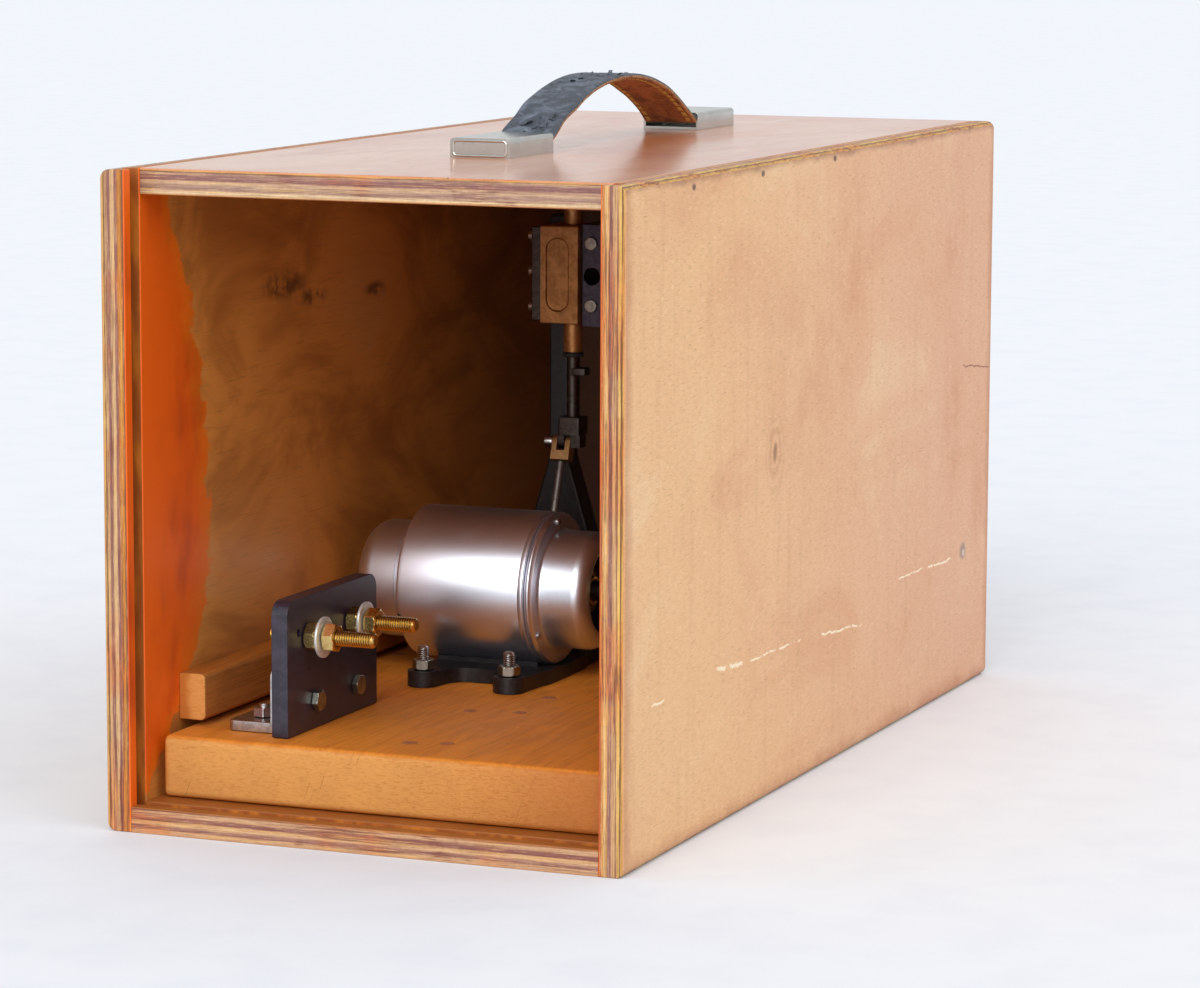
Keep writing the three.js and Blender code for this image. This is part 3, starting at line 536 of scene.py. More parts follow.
    def inner(self, g: Graph) -> Tint:
        """The inside face: a thick orange varnish band at the mouth, mottled brown wood behind it, and painted
        shade that deepens into the case; the back panel is painted dark all over as shade.
        """
        smoke = g.noise((0.02, 0.012, 0.02), 4, 0.62, 0.7, (6.0, 2.0, 5.0))
        tint = g.colour(srgb("DC9040")).blend(srgb("B06C2A"), smoke.step(0.40, 0.66))
        tint = tint.blend(srgb("DA9C5A"), smoke.step(0.42, 0.28) * 0.4)
        grain = g.noise((0.12, 0.05, 1.3), 3, 0.6, 0.0, (2.0, 2.0, 2.0))
        tint = tint.blend(srgb("7A4820"), grain.step(0.54, 0.76) * 0.35)
        # painted shade: the back panel's inside face is darkened all over, standing for the shade at the far end of
        # the case
        if self.panel is Ply.BACK:
            return tint.blend(srgb("3E2014"), 0.85)
        # painted shade: the inside face darkens deeper into the case, away from the mouth
        tint = tint.blend(srgb("5A2E16"), g.y.step(10, 215) * 0.6)
        if self.panel is not Ply.LEFT and self.panel is not Ply.RIGHT:
            return tint.blend(srgb("8A4A12"), g.y.step(-150, -200) * 0.8)
        for centre, half in (
            ((-87.0, 196.0), (17.0, 5.0)), ((-62.0, 189.0), (12.0, 3.0)), ((-2.0, 187.0), (9.0, 2.6)),
        ):  # fmt: skip
            ragged = g.noise((0.1, 0.16, 0.2), 3, 0.6, 0.0, (centre[0], 0.0, 0.0))
            tint = tint.blend(srgb("3C1E0C"), g.oval(g.y, g.z, centre, half, 0.6) * ragged.step(0.36, 0.6) * 0.75)
        pale = g.noise((0.5, 0.30, 1.6), 2, 0.5, 0.0, (9.0, 9.0, 1.0))
        tint = tint.blend(srgb("C99A63"), pale.step(0.74, 0.78) * 0.5)
        rise, fall = (g.z - 110).most(0.0), (110 - g.z).most(0.0)
        edge = -155.5 - rise * rise * 0.0019 - fall * fall * 0.0056
        fray = (g.noise((0.05, 0.06, 0.09), 4, 0.65, 0.3, (1.0, 1.0, 9.0)) - 0.5) * 24
        fray = fray + (g.noise((0.3, 0.30, 0.22), 3, 0.7, 0.0, (4.0, 1.0, 2.0)) - 0.5) * 7
        band = (g.y - edge + fray).step(1.6, -1.6)
        drip = g.noise((0.1, 0.03, 0.016), 3, 0.5, 0.0, (3.0, 3.0, 3.0))
        varnish = g.colour(srgb("EE6404")).blend(srgb("C04402"), drip.step(0.46, 0.7))
        varnish = varnish.blend(srgb("F08C10"), (g.y - edge + fray).step(-13, -1) * 0.35)
        return tint.blend(varnish, band)

    def groove(self, g: Graph) -> Value:
        """1 in the door groove, by its distance behind the front edge and below the inner face."""
        inside = (g.y - self.groove_y).size().step(*self.groove_half)
        return inside * self.depth(g).step(*self.groove_depth)

    def make(self) -> bpy.types.Material:
        """Builds the material."""
        g = Graph(self.name)
        depth = self.depth(g)
        tint = self.layers(g, depth)
        outer = self.outer(g)
        if self.panel is Ply.RIGHT:
            outer = self._marks(g, outer)
        out_mask = depth.step(0.75, 0.45)
        in_mask = depth.step(self.ply_mm - 0.6, self.ply_mm - 0.3)
        tint = tint.blend(outer, out_mask).blend(self.inner(g), in_mask)
        if self.panel is not Ply.BACK and self.panel is not Ply.TOP:
            floor = g.colour(srgb("9C5216")).blend(srgb("C8761E"), g.noise((0.2, 0.2, 0.04), 3).step(0.4, 0.7))
            tint = tint.blend(floor, self.groove(g) * in_mask.step(1.0, 0.0))
        ragged = g.noise(1.4, 4, 0.65, 0.0, (2.0, 8.0, 4.0))
        top = self.panel is Ply.TOP
        height = ragged * 0.5 + g.noise((2.6, 0.12, 0.12) if top else (0.12, 0.12, 2.6), 2) * 0.5
        rough = (0.34 if top else 0.50) + (ragged - 0.5) * 0.22 + g.noise(0.02, 3) * 0.12
        if top:
            rough = rough + (g.noise((0.03, 0.010, 0.03), 4, 0.7, 0.6) - 0.5) * 0.5
        coat, coat_rough = (0.8, 0.13) if top else (0.15, 0.3)
        return g.finish(
            Base_Color=tint,
            Roughness=rough,
            Normal=g.bump(height, 0.14, 0.55),
            Coat_Weight=coat,
            Coat_Roughness=coat_rough,
        )


@dataclass(frozen=True)
class SolidWoodFinish:
    """Solid timber with its grain along y: the base board and the guide battens."""

    name: str
    light: str
    dark: str
    top_mm: float
    front_mm: float
    side_rim: Pair = (91.5, 94.5)

    def make(self) -> bpy.types.Material:
        """Builds the material."""
        g = Graph(self.name)
        light, dark = srgb(self.light), srgb(self.dark)
        figure = g.noise((0.05, 0.004, 0.09), 4, 0.55, 1.6, (3.0, 4.0, 1.0))
        lines = ((figure * 44).sine() * 0.5 + 0.5).power(2.0)
        tint = g.colour(light).blend(dark, lines * 0.34)
        cloud = g.noise((0.016, 0.010, 0.03), 4, 0.6, 0.5)
        tint = tint.blend(srgb("D08A50"), cloud.step(0.5, 0.7) * 0.30)
        end = (g.y - self.front_mm).step(1.3, 0.5)
        speck = g.noise((0.9, 0.4, 2.0), 3, 0.6, 0.0, (4.0, 4.0, 4.0))
        fleck = g.noise((0.35, 0.4, 1.6), 4, 0.7, 0.5, (6.0, 4.0, 4.0))
        pale = g.colour(srgb("D0924E")).blend(srgb("B87636"), fleck.step(0.46, 0.68) * 0.7)
        lean_sine, lean_cosine = 0.34, 0.94
        across, along = g.x * lean_cosine - g.z * lean_sine, g.x * lean_sine + g.z * lean_cosine
        nick = g.node("ShaderNodeCombineXYZ", {}, {0: across * 1.5, 1: along * 0.05, 2: 3.0})
        nicks = g.node("ShaderNodeTexNoise", {}, {"Vector": nick.outputs[0], "Scale": 1.0, "Detail": 1.0})
        pale = pale.blend(srgb("8E5A2C"), Value(g, nicks.outputs[0]).step(0.68, 0.76) * 0.4)
        # painted shade: the front face grows darker and redder towards its right end, in the right side panel's
        # shadow
        pale = pale.blend(srgb("A8521C"), (g.x + fleck * 60).step(20, 130) * 0.6)
        rim = (g.z - self.top_mm + g.noise(0.09, 3) * 5).step(0.6, 3.4)
        rim = rim.most((g.x.size() + g.noise(0.09, 3) * 6).step(*self.side_rim))
        pale = pale.blend(srgb("B4621E"), rim * 0.75)
        tint = tint.blend(pale, end)
        pores = g.noise((1.8, 0.07, 1.8), 2, 0.6, 0.0, (2.0, 9.0, 5.0))
        tint = tint.blend(srgb("6B3A1A"), pores.step(0.58, 0.74) * (1 - end) * 0.5)
        scuff = g.noise((0.30, 0.10, 0.6), 3, 0.7, 1.2, (9.0, 1.0, 2.0))
        tint = tint.blend(srgb("E3B88A"), scuff.step(0.70, 0.76) * 0.45)
        grime = g.noise(0.035, 4, 0.65, 0.3, (4.0, 7.0, 7.0))
        tint = tint.shade(0.82 + grime * 0.34)
        return g.finish(
            Base_Color=tint,
            Roughness=0.44 + grime * 0.25 + end * 0.10,
            Specular_IOR_Level=0.22,
            Normal=g.bump(pores * 0.5 + speck * 0.5, 0.12, 0.5),
        )


class Brushing(Enum):
    """Which way a metal surface is brushed, as noise rates along x, y and z."""

    NONE = (0.8, 0.8, 0.8)
    AROUND_X = (9.0, 0.05, 0.05)


@dataclass(frozen=True)
class MetalFinish:
    """Bare or plated metal with fine brushing, dull cloudy patches, grime spots, bright wear and painted shade in
    thread roots.
    """

    name: str
    bright: str
    dull: str
    dirt_and_shade: str = "2A2018"
    rough: float = 0.3
    cloud: float = 0.35
    soil: float = 0.3
    scale: float = 0.25
    grain: Brushing = Brushing.NONE
    metallic: float = 1.0
    relief_mm: float = 0.03

    def make(self) -> bpy.types.Material:
        """Builds the material."""
        g = Graph(self.name)
        brush = g.noise(self.grain.value, 3, 0.6, 0.0, (1.0, 5.0, 3.0))
        patch = g.noise(self.scale, 4, 0.62, 0.6, (7.0, 3.0, 2.0))
        tint = g.colour(srgb(self.bright)).blend(srgb(self.dull), patch.step(0.38, 0.66) * self.cloud * 2)
        tint = tint.blend(srgb(self.dull), brush.step(0.45, 0.75) * 0.35)
        spot = g.noise(self.scale * 3.1, 4, 0.7, 0.0, (2.0, 2.0, 9.0))
        soil = spot.step(0.54, 0.74) * self.soil
        tint = tint.blend(srgb(self.dirt_and_shade), soil)
        # painted shade, with grime: thread roots darken by the groove attribute
        groove = g.attribute("groove")
        tint = tint.blend(srgb(self.dirt_and_shade), groove.step(0.35, 0.95) * 0.8)
        rough = self.rough + (patch - 0.5) * self.cloud * 0.5 + (brush - 0.5) * 0.14 + soil * 0.4
        return g.finish(
            Base_Color=tint,
            Metallic=self.metallic - soil * self.metallic * 0.6,
            Roughness=rough,
            Normal=g.bump(brush * 0.6 + spot * 0.4, self.relief_mm, 0.6),
        )


@dataclass(frozen=True)
class DarkFinish:
    """A near-black surface: ebonite, japanned casting or rubber, dusted and rubbed."""

    name: str
    base: str
    rubbed: str
    rough: float
    relief_mm: float
    scale: float = 0.3
    dust: float = 0.15
    dust_colour: str = "8C8078"

    def make(self) -> bpy.types.Material:
        """Builds the material."""
        g = Graph(self.name)
        patch = g.noise(self.scale, 4, 0.6, 0.5, (2.0, 6.0, 1.0))
        fine = g.noise(self.scale * 6, 3, 0.6, 0.0, (5.0, 5.0, 5.0))
        tint = g.colour(srgb(self.base)).blend(srgb(self.rubbed), patch.step(0.4, 0.7) * 0.7)
        tint = tint.blend(srgb(self.dust_colour), fine.step(0.56, 0.76) * self.dust)
        rough = self.rough + (patch - 0.5) * 0.25 + (fine - 0.5) * 0.15
        normal = g.bump(patch * 0.4 + fine * 0.6, self.relief_mm, 0.7)
        return g.finish(Base_Color=tint, Roughness=rough, Normal=normal)


@dataclass(frozen=True)
class LeatherFinish:
    """Old strap leather: a cracked black dressing above, painted blue-grey as sheen, tan edges and a brown flesh
    side below.

    It reads the strap's attribute "side": 0 on top, about 0.5 on the edges, 1 below.
    """

    name: str = "strap_leather"

    def make(self) -> bpy.types.Material:
        """Builds the material."""
        g = Graph(self.name)
        side = g.attribute("side")
        patch = g.noise(0.12, 4, 0.65, 0.8, (3.0, 1.0, 1.0))
        fine = g.noise(0.9, 4, 0.7, 0.4, (1.0, 8.0, 2.0))
        # painted sheen: the black dressing's top is coloured blue-grey as if reflecting the bright sky
        top = g.colour(srgb("3E444E")).blend(srgb("5F6876"), patch.step(0.42, 0.66))
        top = top.blend(srgb("15171B"), fine.step(0.54, 0.70) * 0.8)
        top = top.blend(srgb("A9ABB0"), (fine * patch).step(0.36, 0.44) * 0.5)
        under = g.colour(srgb("A3683C")).blend(srgb("6E3F22"), patch.step(0.40, 0.68))
        under = under.blend(srgb("C48B57"), fine.step(0.58, 0.74) * 0.6)
        edge = g.colour(srgb("B58A5E")).blend(srgb("5A3B26"), fine.step(0.42, 0.62))
        worn = side + (fine - 0.5) * 0.16
        tint = top.blend(edge, worn.step(0.26, 0.34)).blend(under, worn.step(0.66, 0.74))
        return g.finish(
            Base_Color=tint,
            Roughness=0.42 + fine * 0.4 + side * 0.15,
            Normal=g.bump(fine * 0.6 + patch * 0.4, 0.35, 0.8),
        )


@dataclass(frozen=True)
class FloorFinish:
    """The studio floor: matt near-white paper."""

    name: str = "floor_paper"

    def make(self) -> bpy.types.Material:
        """Builds the material."""
        g = Graph(self.name)
        speck = g.noise(0.03, 3, 0.5)
        tint = g.colour(srgb("E6E9EF")).blend(srgb("E3E6ED"), speck.step(0.4, 0.7))
        return g.finish(Base_Color=tint, Roughness=0.9, Specular_IOR_Level=0.1)


class Finishes:
    """Every material, made once."""

    def __init__(self) -> None:
        """Makes them all."""
        made = [
            SolidWoodFinish("board_timber", "DA8630", "B0621E", 34.0, -202.5),
            SolidWoodFinish("batten_timber", "B26A26", "7A4414", 60.0, -182.0),
            MetalFinish("nickel_cap", "C4C4C0", "A4A49E", "6E6A5E", 0.20, 0.14, 0.16, 0.10),
            MetalFinish(
                "brushed_aluminium", "DEE3EE", "C8CEDA", "8E8C8C", 0.36, 0.08, 0.05, 0.03,
                Brushing.AROUND_X, relief_mm=0.0015,
            ),  # fmt: skip
            MetalFinish("turned_brass", "EBD08A", "C6A256", "5E4218", 0.25, 0.2, 0.22, 0.5),
            MetalFinish("thread_brass", "E4C67C", "C09C50", "4A3212", 0.30, 0.2, 0.2, 0.6),
            MetalFinish("pale_steel", "C6C6C6", "8E8C88", "4A4038", 0.30, 0.3, 0.3, 0.4),
            MetalFinish("zinc_plate", "A9A89E", "77756C", "3E362C", 0.34, 0.35, 0.4, 0.5),
            MetalFinish("bright_zinc", "E4E4E2", "C2C2BE", "5A5448", 0.34, 0.2, 0.2, 0.4, metallic=0.6),
            MetalFinish("dark_steel", "5A5450", "3A3532", "1C1612", 0.42, 0.3, 0.4, 0.4),
            MetalFinish("tan_bronze", "C08A54", "906236", "46301A", 0.46, 0.35, 0.3, 0.2, metallic=0.75),
            MetalFinish("blued_steel", "55505A", "38343C", "1C1612", 0.45, 0.3, 0.4, 0.4, metallic=0.9),
            MetalFinish("grey_iron", "8A8683", "6A6663", "2E2824", 0.48, 0.3, 0.35, 0.3, metallic=0.85),
            MetalFinish("light_bronze", "CBA574", "A07C4C", "4E361C", 0.36, 0.3, 0.25, 0.6, metallic=0.9),
            MetalFinish("field_iron", "3A2A22", "24190F", "100B08", 0.6, 0.3, 0.4, 0.4, metallic=0.4),
            FloorFinish(),
            DarkFinish("ebonite", "25202C", "3A3442", 0.34, 0.05, 0.16, 0.14, "77706E"),
            DarkFinish("black_casting", "151416", "26252A", 0.40, 0.22, 0.35, 0.12, "6A6058"),
            DarkFinish("belt_rubber", "1B1A19", "2C2A28", 0.7, 0.10, 0.5, 0.2, "55504A"),
            DarkFinish("plug_filler", "A05A32", "B87850", 0.6, 0.10, 0.6, 0.5, "D9B08A"),
            DarkFinish("stitch_thread", "C9A54E", "A5823A", 0.8, 0.05, 1.0, 0.3, "E0C27A"),
            LeatherFinish(),
            PlywoodFinish(Ply.RIGHT, 105.0),
            PlywoodFinish(Ply.LEFT, -105.0),
            PlywoodFinish(Ply.TOP, 250.0),
            PlywoodFinish(Ply.BOTTOM, 0.0),
            PlywoodFinish(Ply.BACK, 222.0),
        ]
        self.by_name = {f.name: f.make() for f in made}

    def __getitem__(self, name: str) -> bpy.types.Material:
        """The material of that name."""
        return self.by_name[name]


# ---------------------------------------------------------------- shapes


class Axis(Enum):
    """Direction that a turned piece's axis points."""

    X = "x"
    Z = "z"


def polar(radius: Array, along: Array, angle: Array, axis: Axis, centre: Triple) -> Array:
    """Points around an axis: the radius turned by the angle, carried along the axis.

    Args:
        radius: radii, mm.
        along: positions along the axis, mm, counted from the centre.
        angle: angles, radians.
        axis: which way the axis points.
        centre: a point on the axis, mm.

    Returns:
        An array of points, mm.
    """
    radius, along, angle = np.broadcast_arrays(radius, along, angle)
    first, second = radius * np.cos(angle), radius * np.sin(angle)
    parts = (along, first, second) if axis is Axis.X else (first, second, along)
    return np.stack(parts, -1) + np.array(centre)


def skin(name: str, grid: Array, wrap_rows: bool = False) -> bpy.types.Object:
    """Makes one closed surface of a grid of points whose columns wrap round.

    Each cell of the grid becomes a four-sided face. Rows that shrink to a point are merged, and all the
    faces are turned over if the enclosed volume comes out negative.

    Args:
        name: the piece's name.
        grid: rows by columns by 3, mm.
        wrap_rows: whether the last row joins the first.

    Returns:
        The object, at the origin.
    """
    rows, cols = grid.shape[:2]
    i, j = np.meshgrid(np.arange(rows if wrap_rows else rows - 1), np.arange(cols), indexing="ij")
    down, right = (i + 1) % rows, (j + 1) % cols
    cells = np.stack([i * cols + j, down * cols + j, down * cols + right, i * cols + right], -1).reshape(-1, 4)
    points = grid.reshape(-1, 3) * MM
    return solid(name, points, cells)


def enclosed(points: Array, cells: Array) -> float:
    """Six times the signed volume inside a set of four-sided faces."""
    a, b, c, d = (points[cells[:, k]] for k in range(4))
    return float(np.sum(a * np.cross(b, c)) + np.sum(a * np.cross(c, d)))


def solid(name: str, points: Array, cells: Array) -> bpy.types.Object:
    """Puts points and four-sided faces into a merged, outward, smooth-shaded mesh."""
    if enclosed(points, cells) < 0:
        cells = cells[:, ::-1]
    mesh = bpy.data.meshes.new(name)
    mesh.from_pydata(points.tolist(), [], cells.tolist())
    work = bmesh.new()
    work.from_mesh(mesh)
    bmesh.ops.remove_doubles(work, verts=work.verts, dist=2e-7)
    work.to_mesh(mesh)
    work.free()
    return shaded(name, mesh)


def shaded(name: str, mesh: bpy.types.Mesh) -> bpy.types.Object:
    """Makes the object of a mesh, smooth except at its sharp edges."""
    mesh.shade_smooth()
    mesh.set_sharp_from_angle(angle=SHARP)
    made = bpy.data.objects.new(name, mesh)
    bpy.context.scene.collection.objects.link(made)
    return made


def corners(mesh: bpy.types.Mesh) -> Array:
    """A mesh's points, mm."""
    points = np.empty(len(mesh.vertices) * 3)
    mesh.vertices.foreach_get("co", points)
    return points.reshape(-1, 3) / MM


def mark(mesh: bpy.types.Mesh, name: str, values: Array) -> None:
    """Writes an attribute with one number for each point."""
    made = mesh.attributes.new(name, "FLOAT", "POINT")
    made.data.foreach_set("value", values.astype(np.float32))


def around(count: int) -> Array:
    """Evenly spaced angles of a whole turn."""
    return np.arange(count) * 2 * math.pi / count


def turned(
    name: str, profile: Outline, axis: Axis, centre: Triple, sides: int = 72, fillet: float = 0.0
) -> bpy.types.Object:
    """Turns a profile about an axis, as on a lathe.

    Args:
        name: the piece's name.
        profile: closed outline as (radius, along), mm; one that starts and ends on the axis stays open there.
        axis: which way the axis points.
        centre: a point on the axis, mm.
        sides: faces around.
        fillet: radius that rounds each corner of the outline, mm.

    Returns:
        The object.
    """
    outline = np.array(profile, float)
    on_axis = outline[0, 0] == 0 and outline[-1, 0] == 0
    if fillet > 0:
        outline = rounded(outline, fillet, closed=not on_axis)
    grid = polar(outline[:, :1], outline[:, 1:], around(sides)[None, :], axis, centre)
    return skin(name, grid, wrap_rows=not on_axis)


def rounded(outline: Array, radius: float, closed: bool, steps: int = 4) -> Array:
    """Rounds the corners of an outline.

    Each corner is swapped for a parabola that leaves its two sides at the fillet's distance, or at 0.45 of a
    shorter side: the sum of the two tangent points and the corner, weighted (1-t)^2, t^2 and 2t(1-t).

    Args:
        outline: points, mm.
        radius: fillet distance, mm.
        closed: whether the last point joins the first.
        steps: points per corner.

    Returns:
        The rounded outline.
    """
    before, after = np.roll(outline, 1, 0), np.roll(outline, -1, 0)
    back, ahead = before - outline, after - outline
    back_len = np.linalg.norm(back, axis=1, keepdims=True)
    ahead_len = np.linalg.norm(ahead, axis=1, keepdims=True)
    start = outline + back / back_len * np.minimum(radius, back_len * 0.45)
    end = outline + ahead / ahead_len * np.minimum(radius, ahead_len * 0.45)
    t = np.linspace(0, 1, steps)[None, :, None]
    curve = start[:, None] * (1 - t) ** 2 + outline[:, None] * 2 * t * (1 - t) + end[:, None] * t**2
    if closed:
        return curve.reshape(-1, 2)
    return np.concatenate([outline[:1], curve[1:-1].reshape(-1, 2), outline[-1:]])


def hexagon(angle: Array, across: float) -> Array:
    """Radius of a hexagon by angle: half the width across flats over the cosine within each sixth."""
    sixth = math.pi / 3
    return across / 2 / np.cos((angle + sixth / 2) % sixth - sixth / 2)


@dataclass(frozen=True)
class HexNut:
    """A chamfered hexagon along x or z, with a bore, or closed as a bolt head."""

    across: float
    thick: float
    bore: float = 0.0
    turn: float = 0.0
    both: bool = True
    cone_slope: float = 1.9
    mouth: float = 0.35
    crown: float = 0.12

    def build(self, name: str, axis: Axis, centre: Triple) -> bpy.types.Object:
        """Builds the nut with its low face at the centre.

        The radius is the hexagon's by angle, but never more than a cone that opens from each chamfered face.

        Args:
            name: the piece's name.
            axis: which way it points.
            centre: middle of its low face, mm.

        Returns:
            The object.
        """
        angle = around(72)[None, :]
        levels = np.array([0, 0.06, 0.12, 0.18, 0.26, 0.5, 0.74, 0.82, 0.88, 0.94, 1.0])[:, None] * self.thick
        low = levels * self.cone_slope if self.both else levels * 0 + self.thick
        cone = self.across * 0.475 + np.minimum(low, (self.thick - levels) * self.cone_slope)
        outer = np.minimum(hexagon(angle + self.turn, self.across), cone)
        rim = self.across * 0.45
        inner = self.bore + self.mouth
        row, bottom, top = outer[:1] * 0 + 1, levels[:1], levels[-1:]
        if self.bore:
            rows = [row * inner, row * rim, outer, row * rim, row * inner, row * self.bore, row * self.bore]
            heights = [bottom, bottom, levels, top, top, top - self.mouth, bottom + self.mouth]
        else:
            rows = [row * 0, row * rim, outer, row * rim, row * 0]
            heights = [bottom, bottom, levels, top, top + self.crown]
        radius = np.concatenate(rows)
        along = np.concatenate([np.broadcast_to(h, (len(h), angle.shape[1])) for h in heights])
        return skin(name, polar(radius, along, angle, axis, centre), wrap_rows=bool(self.bore))


def mark_depth(
    piece: bpy.types.Object, axis: Axis, centre: Triple, radius: float, depth: float, marked: Pair
) -> None:
    """Writes the attribute "groove": 0 on a thread's crest and 1 at its root, by distance from the axis; the finish
    paints shade and grime into the roots by it.

    Args:
        piece: the threaded piece.
        axis: which way it points.
        centre: a point on its axis, mm.
        radius: crest radius, mm.
        depth: crest to root, mm.
        marked: where the marks begin and stop along the axis, mm.
    """
    away = corners(piece.data) - np.array(centre)
    across, along = (away[:, 1:], away[:, 0]) if axis is Axis.X else (away[:, :2], away[:, 2])
    sunk = np.clip((radius - np.linalg.norm(across, axis=1)) / depth, 0, 1)
    sunk *= (along > marked[0]) & (along < marked[1])
    mark(piece.data, "groove", sunk)


@dataclass(frozen=True)
class Thread:
    """A screw thread: the radius falls by a triangle wave of position less angle, and each end is chamfered."""

    radius: float
    pitch: float = 1.0
    depth: float = 0.6
    chamfer: float = 0.9
    clean_ends: float = 1.2

    def build(self, name: str, axis: Axis, centre: Triple, start: float, end: float) -> bpy.types.Object:
        """Builds the threaded rod.

        Args:
            name: the piece's name.
            axis: which way it points.
            centre: a point on its axis, mm.
            start: where it begins along the axis, from the centre, mm.
            end: where it stops, mm.

        Returns:
            The object.
        """
        angle = around(28)[None, :]
        along = np.linspace(start, end, int((end - start) / self.pitch * 8))[:, None]
        turn = (along / self.pitch - angle / (2 * math.pi)) % 1.0
        wave = np.abs(turn - 0.5) * 2
        radius = self.radius - self.depth * np.clip(wave * 1.25 - 0.12, 0, 1)
        ends = np.minimum(along - start, end - along)
        radius = np.minimum(radius, self.radius - self.chamfer + ends)
        radius = np.concatenate([radius[:1] * 0, radius, radius[-1:] * 0])
        along = np.concatenate([along[:1], along, along[-1:]])
        piece = skin(name, polar(radius, along, angle, axis, centre))
        marked = (start + self.clean_ends, end - self.clean_ends)
        mark_depth(piece, axis, centre, self.radius, self.depth, marked)
        return piece


def value_noise(u: Array, v: Array, seed: int, size: int = 64) -> Array:
    """Smooth random heights over a plane: corner values of a square lattice, eased between with 3t^2 - 2t^3.

    Args:
        u: first coordinate, in lattice cells.
        v: second coordinate, in lattice cells.
        seed: which lattice.
        size: cells before it repeats.

    Returns:
        Heights from 0 to 1.
    """
    lattice = np.random.default_rng(seed).random((size, size))
    i, j = np.floor(u).astype(int), np.floor(v).astype(int)
    s, t = u - i, v - j
    s, t = s * s * (3 - 2 * s), t * t * (3 - 2 * t)
    low = lattice[i % size, j % size] * (1 - s) + lattice[(i + 1) % size, j % size] * s
    high = lattice[i % size, (j + 1) % size] * (1 - s) + lattice[(i + 1) % size, (j + 1) % size] * s
    return low * (1 - t) + high * t


class Bench:
    """Where pieces are made: it knows the frame, copies CAD nodes, and gives each piece its body and finish."""

    def __init__(self, frame: dict, finishes: Finishes) -> None:
        """Keeps the frame and the finishes.

        Args:
            finishes: the materials.
        """
        self.frame = frame
        self.finishes = finishes

    def place(self, piece: bpy.types.Object, body: str, slot: str, finish: str, *nodes: str) -> bpy.types.Object:
        """Finishes a piece, puts it on its body and hides the CAD nodes it stands for.

        Args:
            piece: the new object.
            body: the CAD body it moves with.
            slot: the record's material slot; not used.
            finish: the finish's name.
            nodes: CAD nodes it replaces.

        Returns:
            The piece.
        """
        piece.data.materials.clear()
        piece.data.materials.append(self.finishes[finish])
        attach(piece, body)
        if nodes:
            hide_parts(*nodes)
        LOG.info("%s rides on %s", piece.name, body)
        return piece

    def refine(self, node: str, width: float, slot: str, finish: str, segments: int = 2) -> bpy.types.Object:
        """Stands a softened copy of a CAD node in its place.

        The node's corner points are welded, its flat faces are joined, and a Bevel rounds its sharp edges.

        Args:
            node: the CAD node.
            width: the bevel's width, mm; 0 leaves the edges.
            slot: the record's material slot.
            finish: the finish's name.
            segments: steps across the bevel.

        Returns:
            The new piece.
        """
        source = self.frame["nodes"][node].data
        points = np.empty(len(source.vertices) * 3)
        source.vertices.foreach_get("co", points)
        welded, index = np.unique(np.round(points.reshape(-1, 3), 6), axis=0, return_inverse=True)
        source.calc_loop_triangles()
        corners = np.empty(len(source.loop_triangles) * 3, int)
        source.loop_triangles.foreach_get("vertices", corners)
        faces = index.reshape(-1)[corners].reshape(-1, 3)
        whole = (faces[:, 0] != faces[:, 1]) & (faces[:, 1] != faces[:, 2]) & (faces[:, 2] != faces[:, 0])
        mesh = bpy.data.meshes.new(f"{node}_worn")
        mesh.from_pydata(welded.tolist(), [], faces[whole].tolist())
        work = bmesh.new()
        work.from_mesh(mesh)
        bmesh.ops.dissolve_limit(work, angle_limit=FLAT, verts=work.verts, edges=work.edges)
        work.to_mesh(mesh)
        work.free()
        piece = shaded(f"{node}_worn", mesh)
        if width > 0:
            bevel = piece.modifiers.new("soft_edges", "BEVEL")
            bevel.width, bevel.segments = width * MM, segments
            bevel.limit_method, bevel.angle_limit = "ANGLE", SHARP
            bevel.harden_normals = True
        return self.place(piece, self.frame["nodes"][node]["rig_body"], slot, finish, node)


# ---------------------------------------------------------------- sub-assemblies


@dataclass
class CarryingCase:
    """The plywood box: five panels, two guide battens and two plated handle caps."""

    panel_edge: float = 0.5
    batten_edge: float = 0.6
    cap_edge: float = 1.3
    rim_centre: Triple = (-2.5, -104.9, 253.7)
    rim_half: Pair = (11.1, 2.9)
    rim_corner: float = 1.4
    rim_tube: float = 0.6

    def rim(self) -> bpy.types.Object:
        """The bead pressed around the front cap's end.

        A tube's circle follows a rounded rectangle: a corner's centre plus the corner radius times the
        direction of the angle, and then the tube's radius in and out along that direction.
        """
        steps = 96
        turn = around(steps)[:, None] + math.pi / steps
        ring = around(16)[None, :]
        out = self.rim_corner + self.rim_tube * np.cos(ring)
        x = np.sign(np.cos(turn)) * (self.rim_half[0] - self.rim_corner) + out * np.cos(turn)
        z = np.sign(np.sin(turn)) * (self.rim_half[1] - self.rim_corner) + out * np.sin(turn)
        y = self.rim_tube * np.sin(ring) + 0 * turn
        return skin("cap_rim", np.stack([x, y, z], axis=2) + np.array(self.rim_centre), True)

    def build(self, bench: Bench) -> None:
        """Builds and dresses the panels, battens and caps."""
        for node, finish in (
            ("case_side_left", "plywood_left"), ("case_side_right", "plywood_right"),
            ("case_top_panel", "plywood_top"), ("case_bottom_panel", "plywood_bottom"),
            ("case_back_panel", "plywood_back"),
        ):  # fmt: skip
            bench.refine(node, self.panel_edge, "case_plywood", finish)
        for side in ("left", "right"):
            bench.refine(f"guide_batten_{side}", self.batten_edge, "board_wood", "batten_timber", 3)
        for end in ("front", "rear"):
            bench.refine(f"handle_cap_{end}", self.cap_edge, "nickel_cap", "nickel_cap", 4)
        body = bench.frame["nodes"]["handle_cap_front"]["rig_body"]
        bench.place(self.rim(), body, "nickel_cap", "nickel_cap")


